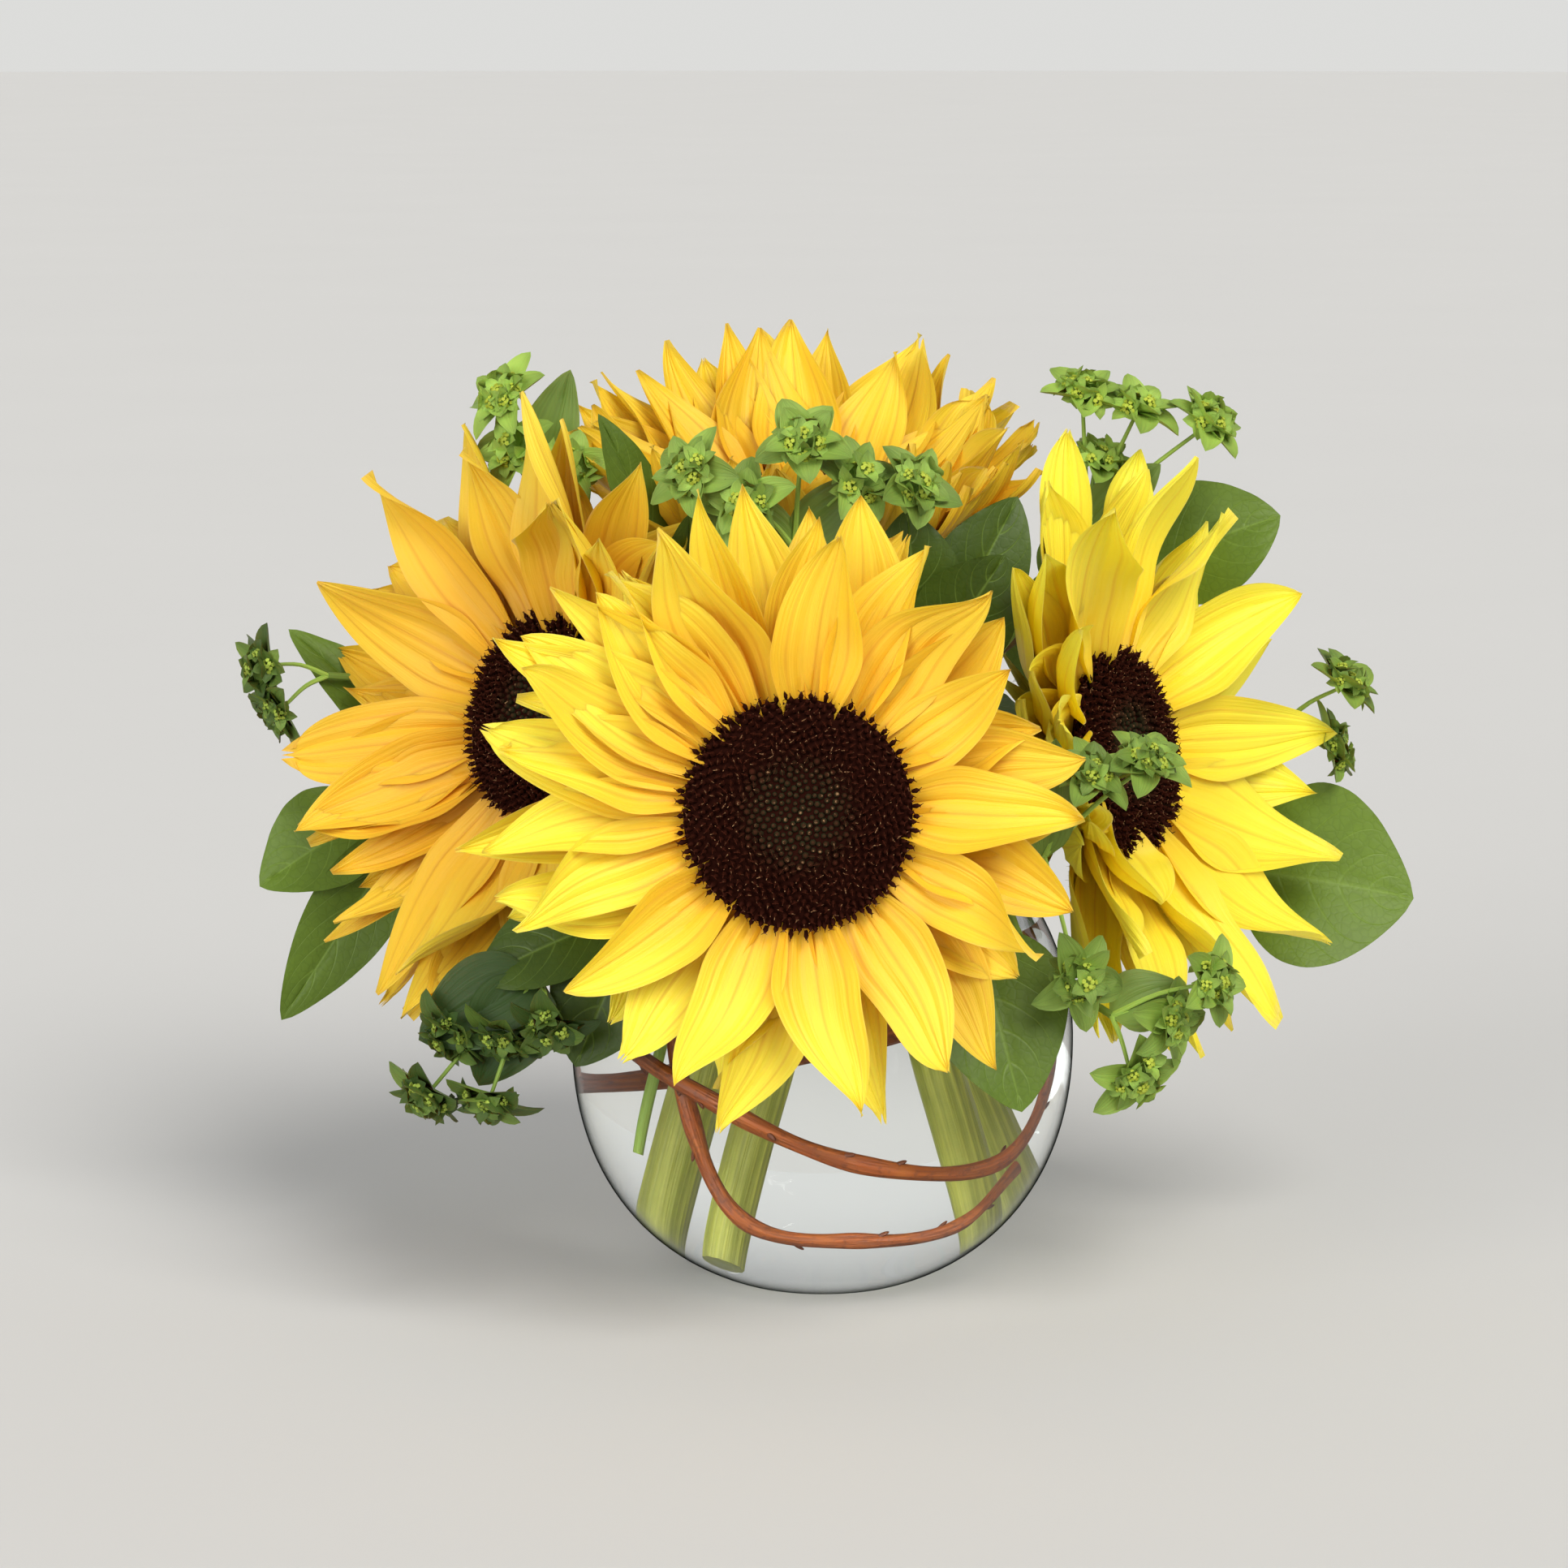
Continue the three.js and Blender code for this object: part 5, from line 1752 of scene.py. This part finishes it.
SUNFLOWERS = [
    Sunflower(
        name="front",
        at=(-7, -96, 146),
        faces=(-0.02, -0.985, 0.17),
        disc_radius=30,
        petal_length=54,
        rise=14,
        seed=7,
        yields=[Yielding(10, 50, 14, 0.86), Yielding(178, 17, 6, 1.2)],
        more_petals=(
            PetalRow(11, -3.6, -2, -16),
            PetalRow(4, -0.6, 16, 10, 138, 50, 1.12),
            PetalRow(3, -1.8, 9, 2, 88, 60, 1.14),
            PetalRow(3, -0.6, 13, 6, 168, 42, 1.18),
        ),
        painted_shade_side=22,
        golden=0.9,
        wild=0.9,
        fullness=1.06,
        stem=[(36, -4, 19), (25, -8, 62), (14, -11, 104), (6, -24, 132)],
        finish=GOLD,
    ),
    Sunflower(
        name="left",
        at=(-73, -20, 160),
        faces=(-0.72, -0.64, 0.27),
        disc_radius=28,
        petal_length=60,
        rise=36,
        seed=21,
        yields=[Yielding(5, 75, -6, 0.58), Yielding(-130, 60, 34, 1.12)],
        more_petals=(
            PetalRow(11, -3.6, -2, -16),
            PetalRow(3, -0.4, 26, 12, 62, 50, 0.95),
            PetalRow(6, -1.8, 9, -4, 236, 80, 1.14),
        ),
        painted_shade_side=195,
        golden=0.75,
        wild=0.8,
        fullness=1.2,
        stem=[(38, 20, 22), (26, 17, 62), (12, 12, 106), (-6, 12, 125)],
        finish=HONEY,
    ),
    Sunflower(
        name="right",
        at=(77, -20, 150),
        faces=(0.84, -0.5, 0.2),
        disc_radius=28,
        petal_length=62,
        rise=34,
        seed=35,
        yields=[Yielding(180, 62, 44, 0.58)],
        more_petals=(PetalRow(11, -3.6, -2, -14), PetalRow(4, -0.4, 24, 2, 196, 90, 0.5)),
        painted_shade_side=230,
        golden=0.18,
        wild=0.8,
        fullness=1.24,
        stem=[(-24, -20, 15), (-12, -12, 60), (1, -4, 105), (13, 0, 126)],
        finish=LEMON,
    ),
    Sunflower(
        name="top",
        at=(-5, 22, 206),
        faces=(0, -0.25, 0.97),
        disc_radius=28,
        petal_length=55,
        rise=56,
        seed=50,
        yields=[Yielding(-90, 100, 98, 0.88), Yielding(180, 60, 60, 0.88), Yielding(0, 60, 62, 0.86)],
        more_petals=(
            PetalRow(12, -3.6, -2, -14),
            PetalRow(22, -1.8, 9, 5, length=1.16),
            PetalRow(14, -0.6, 18, 16, length=1.06),
        ),
        painted_shade_side=270,
        golden=0.6,
        wild=0.5,
        fullness=1.02,
        petal_width=24,
        stem=[(-33, 10, 18), (-22, 18, 62), (-12, 22, 106), (-8, 27, 140)],
        finish=AMBER,
    ),
]

WILLOW = Willow(
    [
        [(-24, -25, 130), (-26, -27, 117), (-37, -34, 92), (-33, -39, 55), (-20, -42, 28), (8, -42, 23),
         (34, -32, 25), (46, -16, 38)],
        [(-36, -9, 128), (-37, -10, 118), (-50, -20, 99), (-55, -28, 78), (-26, -54, 60), (10, -57, 45),
         (46, -32, 42), (55, -14, 62), (50, -8, 95), (38, -5, 117), (36, -6, 130)],
        [(9, 35, 130), (10, 36, 118), (26, 47, 93), (22, 56, 62), (-18, 56, 50), (-48, 32, 50), (-56, 4, 58)],
    ]
)  # fmt: skip

# Each twig's shade is painted light and shade: low deep in the bouquet, high where the light falls.
SALAL = [
    Salal(
        bearing=66,
        course=[(30, 40, 150), (62, 44, 178), (84, 44, 190)],
        leaves=[
            LeafPlan((130, 42, 209), 36, (-0.2, -0.9, 0.4)),
            LeafPlan((92, 72, 208), 32, (0.4, 0.2, 0.8), 0.8),
        ],
        shade=0.65,
    ),
    Salal(
        bearing=0,
        course=[(46, 3, 131), (78, 26, 122), (110, 44, 108)],
        leaves=[
            LeafPlan((169, 35, 100), 54, (-0.1, -0.9, 0.45)),
            LeafPlan((112, 72, 104), 34, (0.3, 0.1, 0.9), 0.85),
        ],
        shade=0.6,
    ),
    Salal(
        bearing=-52,
        course=[(29, -42, 128), (36, -58, 118)],
        leaves=[
            LeafPlan((52, -82, 64), 38, (0.1, -0.9, 0.5)),
            LeafPlan((12, -68, 92), 26, (0, -0.9, 0.4), 0.95),
        ],
        shade=0.3,
    ),
    Salal(
        bearing=180,
        course=[(-60, 16, 130), (-100, 40, 132), (-120, 40, 128)],
        leaves=[
            LeafPlan((-160, 32, 104), 30, (0.1, -0.8, 0.6)),
            LeafPlan((-154, 28, 66), 24, (0.3, -0.9, 0.3), 0.93),
            LeafPlan((-152, 46, 176), 17, (0.1, -0.8, 0.6), 0.85),
        ],
        shade=0.5,
    ),
    Salal(
        bearing=240,
        course=[(-34, -50, 126), (-50, -62, 114)],
        leaves=[
            LeafPlan((-92, -66, 96), 26, (-0.2, -0.8, 0.6)),
            LeafPlan((-66, -72, 74), 30, (-0.1, -0.95, 0.3), 0.95),
        ],
        shade=0.06,
    ),
    Salal(
        bearing=156,
        course=[(-32, 14, 142), (-42, -6, 192)],
        leaves=[
            LeafPlan((-61, -19, 243), 14, (0.5, -0.8, 0.1)),
            LeafPlan((-36, -40, 218), 20, (0.1, -0.9, 0.3), 0.9),
        ],
        shade=0.35,
    ),
    Salal(
        bearing=-68,
        course=[(20, -38, 150), (26, -42, 176)],
        leaves=[
            LeafPlan((22, -48, 220), 26, (0, -0.95, 0.2)),
            LeafPlan((48, -50, 208), 26, (0.2, -0.9, 0.3), 0.97),
            LeafPlan((52, -34, 222), 26, (0.2, -0.95, 0.1)),
            LeafPlan((-20, -50, 196), 28, (0, -0.95, 0.2), 0.85),
        ],
        shade=0.06,
    ),
    Salal(
        bearing=86,
        course=[(12, 62, 142), (22, 80, 150)],
        leaves=[
            LeafPlan((58, 100, 138), 34, (0.3, 0.6, 0.8)),
            LeafPlan((30, 114, 182), 36, (0, -0.3, 0.9), 0.92),
            LeafPlan((4, 98, 112), 34, (0, 0.7, 0.6), 0.85),
        ],
        shade=0.4,
    ),
    Salal(
        bearing=112,
        course=[(-30, 58, 142), (-50, 66, 154)],
        leaves=[
            LeafPlan((-92, 78, 172), 34, (-0.1, 0.5, 0.8)),
            LeafPlan((-62, 96, 196), 32, (0, 0.8, 0.5), 0.97),
            LeafPlan((-70, 86, 120), 36, (-0.3, 0.7, 0.6), 0.88),
        ],
        shade=0.45,
    ),
    Salal(
        bearing=50,
        course=[(54, 50, 138), (70, 62, 150)],
        leaves=[
            LeafPlan((112, 78, 160), 34, (0.2, 0.6, 0.8)),
            LeafPlan((70, 100, 190), 32, (0.1, 0.8, 0.5), 0.95),
            LeafPlan((84, 84, 112), 34, (0.3, 0.6, 0.7), 0.88),
        ],
        shade=0.5,
    ),
]

# Each spray's shade is painted light and shade: low deep in the bouquet, high where the light falls.
BUPLEURUM = [
    Bupleurum(
        bearing=142,
        shade=0.8,
        course=[(-50, 34, 150), (-73, 28, 186), (-80, 20, 218)],
        heads=[(-70, 4, 225), (-87, 14, 244), (-84, 14, 230)],
        leaves=[LeafPlan((-70, 20, 252), 16, (-0.1, -0.9, 0.3))],
    ),
    Bupleurum(
        bearing=-106,
        shade=0.5,
        course=[(-12, -42, 150), (-10, -46, 190), (-8, -50, 210)],
        heads=[(-34, -54, 230), (-20, -58, 222), (-6, -56, 238), (8, -54, 228), (23, -54, 226)],
        leaves=[
            LeafPlan((-34, -52, 224), 15, (0, -0.95, 0.2)),
            LeafPlan((14, -52, 230), 15, (0, -0.95, 0.2)),
        ],
    ),
    Bupleurum(
        bearing=58,
        shade=0.72,
        course=[(34, 34, 150), (62, 26, 188), (74, 20, 208)],
        heads=[(76, 20, 225), (72, 16, 244), (106, 18, 236), (87, 16, 240)],
        leaves=[LeafPlan((94, 16, 226), 14, (0, -0.9, 0.3))],
    ),
    Bupleurum(
        bearing=14,
        shade=0.42,
        course=[(52, 18, 134), (104, 50, 142), (130, 42, 148)],
        heads=[(147, 33, 161), (144, 44, 142)],
    ),
    Bupleurum(
        bearing=-36,
        shade=0.4,
        course=[(46, -46, 130), (58, -68, 130)],
        heads=[(69, -84, 153), (83, -82, 156), (66, -82, 100)],
        leaves=[LeafPlan((60, -84, 164), 13, (0, -0.9, 0.3))],
    ),
    Bupleurum(
        bearing=-20,
        shade=0.55,
        course=[(42, -22, 129), (56, -58, 100), (76, -72, 88)],
        heads=[(90, -72, 87), (81, -74, 73), (101, -74, 97)],
        leaves=[LeafPlan((94, -68, 96), 16, (0, -0.9, 0.4))],
    ),
    Bupleurum(
        bearing=212,
        shade=0.04,
        foot=(-44, -20, 42),
        course=[(-38, -28, 129), (-58, -54, 112), (-76, -68, 98)],
        heads=[(-104, -70, 68), (-98, -68, 84), (-84, -72, 84), (-72, -78, 88), (-88, -76, 68)],
        leaves=[
            LeafPlan((-108, -66, 80), 24, (-0.2, -0.95, 0.3)),
            LeafPlan((-92, -68, 68), 23, (-0.1, -0.95, 0.2)),
        ],
    ),
    Bupleurum(
        bearing=168,
        shade=0.06,
        course=[(-60, 24, 140), (-112, 44, 160), (-140, 36, 164)],
        heads=[(-155, 30, 168), (-152, 30, 156)],
    ),
    Bupleurum(
        bearing=98,
        shade=0.4,
        course=[(-6, 58, 150), (-10, 84, 174)],
        heads=[(-8, 98, 192), (-26, 100, 184), (10, 100, 192)],
    ),
]


# ---- Stage ---------------------------------------------------------------------------------------------


@dataclass(frozen=True)
class Sun:
    """A far soft light."""

    name: str
    toward: Point  # where it comes from
    strength: float
    softness: float  # how wide it looks from the bouquet, in degrees
    colour: Colour

    def hang(self) -> None:
        """Adds the light to the scene."""
        data = bpy.data.lights.new(self.name, "SUN")
        data.energy, data.angle, data.color = self.strength, math.radians(self.softness), self.colour
        put(self.name, data).rotation_euler = Vector(self.toward).to_track_quat("Z", "Y").to_euler()


@dataclass
class Studio:
    """A pale floor that fades into a pale room, a large soft key light and a weak one, and the camera."""

    floor_radius: float = 20.0
    floor_colour: Colour = (0.665, 0.655, 0.635)
    low: Colour = (0.72, 0.72, 0.705)
    high: Colour = (0.33, 0.34, 0.355)
    aim: Vector = field(default_factory=lambda: Vector((-0.0107, 0, 0.1386)))
    distance: float = 1.4
    elevation: float = 9.0
    lens: float = 115.9
    suns: Sequence[Sun] = (
        Sun("key", (0.5, -1.0, 1.0), 2.5, 34.0, (1.0, 0.98, 0.94)),
        Sun("fill", (-0.8, -1.0, 0.3), 1.65, 40.0, (0.98, 0.99, 1.0)),
    )

    def make_floor(self) -> None:
        """Lays a round pale floor."""
        bm = bmesh.new()
        bmesh.ops.create_circle(bm, cap_ends=True, segments=96, radius=self.floor_radius)
        mesh = bpy.data.meshes.new("floor")
        bm.to_mesh(mesh)
        bm.free()
        d = Dressing("pale floor")
        patch = d.effect(Effect.BLOTCHES, Scale=3.0, Contrast=0.4)["Patch"]
        darker = tuple(0.97 * c for c in self.floor_colour)
        mesh.materials.append(d.dress(Base_Color=d.mix(patch, darker, self.floor_colour), Roughness=0.8))
        floor = put("floor", mesh)

    def make_room(self) -> None:
        """Fills the room with light that is pale low down and darker overhead."""
        world = bpy.data.worlds.new("room")
        world.use_nodes = True
        g = Graph(world.node_tree)
        height = g.node("SeparateXYZ", {0: g.node("TexCoord").outputs["Generated"]}).outputs[2]
        colour = g.mix(g.step(height, 0.0, 0.8), self.low, self.high)
        g.feed(world.node_tree.nodes["Background"].inputs["Color"], colour)
        bpy.context.scene.world = world

    def make_camera(self) -> None:
        """Sets the camera at the photograph's angle."""
        data = bpy.data.cameras.new("camera")
        data.lens = self.lens
        tilt = math.radians(self.elevation)
        back = Vector((0, -math.cos(tilt), math.sin(tilt)))
        camera = put("camera", data)
        camera.location = self.aim + back * self.distance
        camera.rotation_euler = (-back).to_track_quat("-Z", "Y").to_euler()
        bpy.context.scene.camera = camera

    def build(self) -> None:
        """Sets the stage."""
        self.make_camera()
        self.make_floor()
        self.make_room()
        for sun in self.suns:
            sun.hang()
        bpy.context.scene.view_settings.view_transform = "Standard"


def main() -> None:
    """Builds the bouquet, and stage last."""
    logging.basicConfig(level=logging.INFO, format="%(message)s")
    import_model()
    bowl = Bowl()
    bowl.glass()
    bowl.water()
    for flower in SUNFLOWERS:
        flower.build()
    WILLOW.build()
    for family in (SALAL, BUPLEURUM):
        for number, spray in enumerate(family, 1):
            spray.number = number
            spray.build()
    Studio().build()
    bpy.context.view_layer.update()


if __name__ == "__main__":
    main()
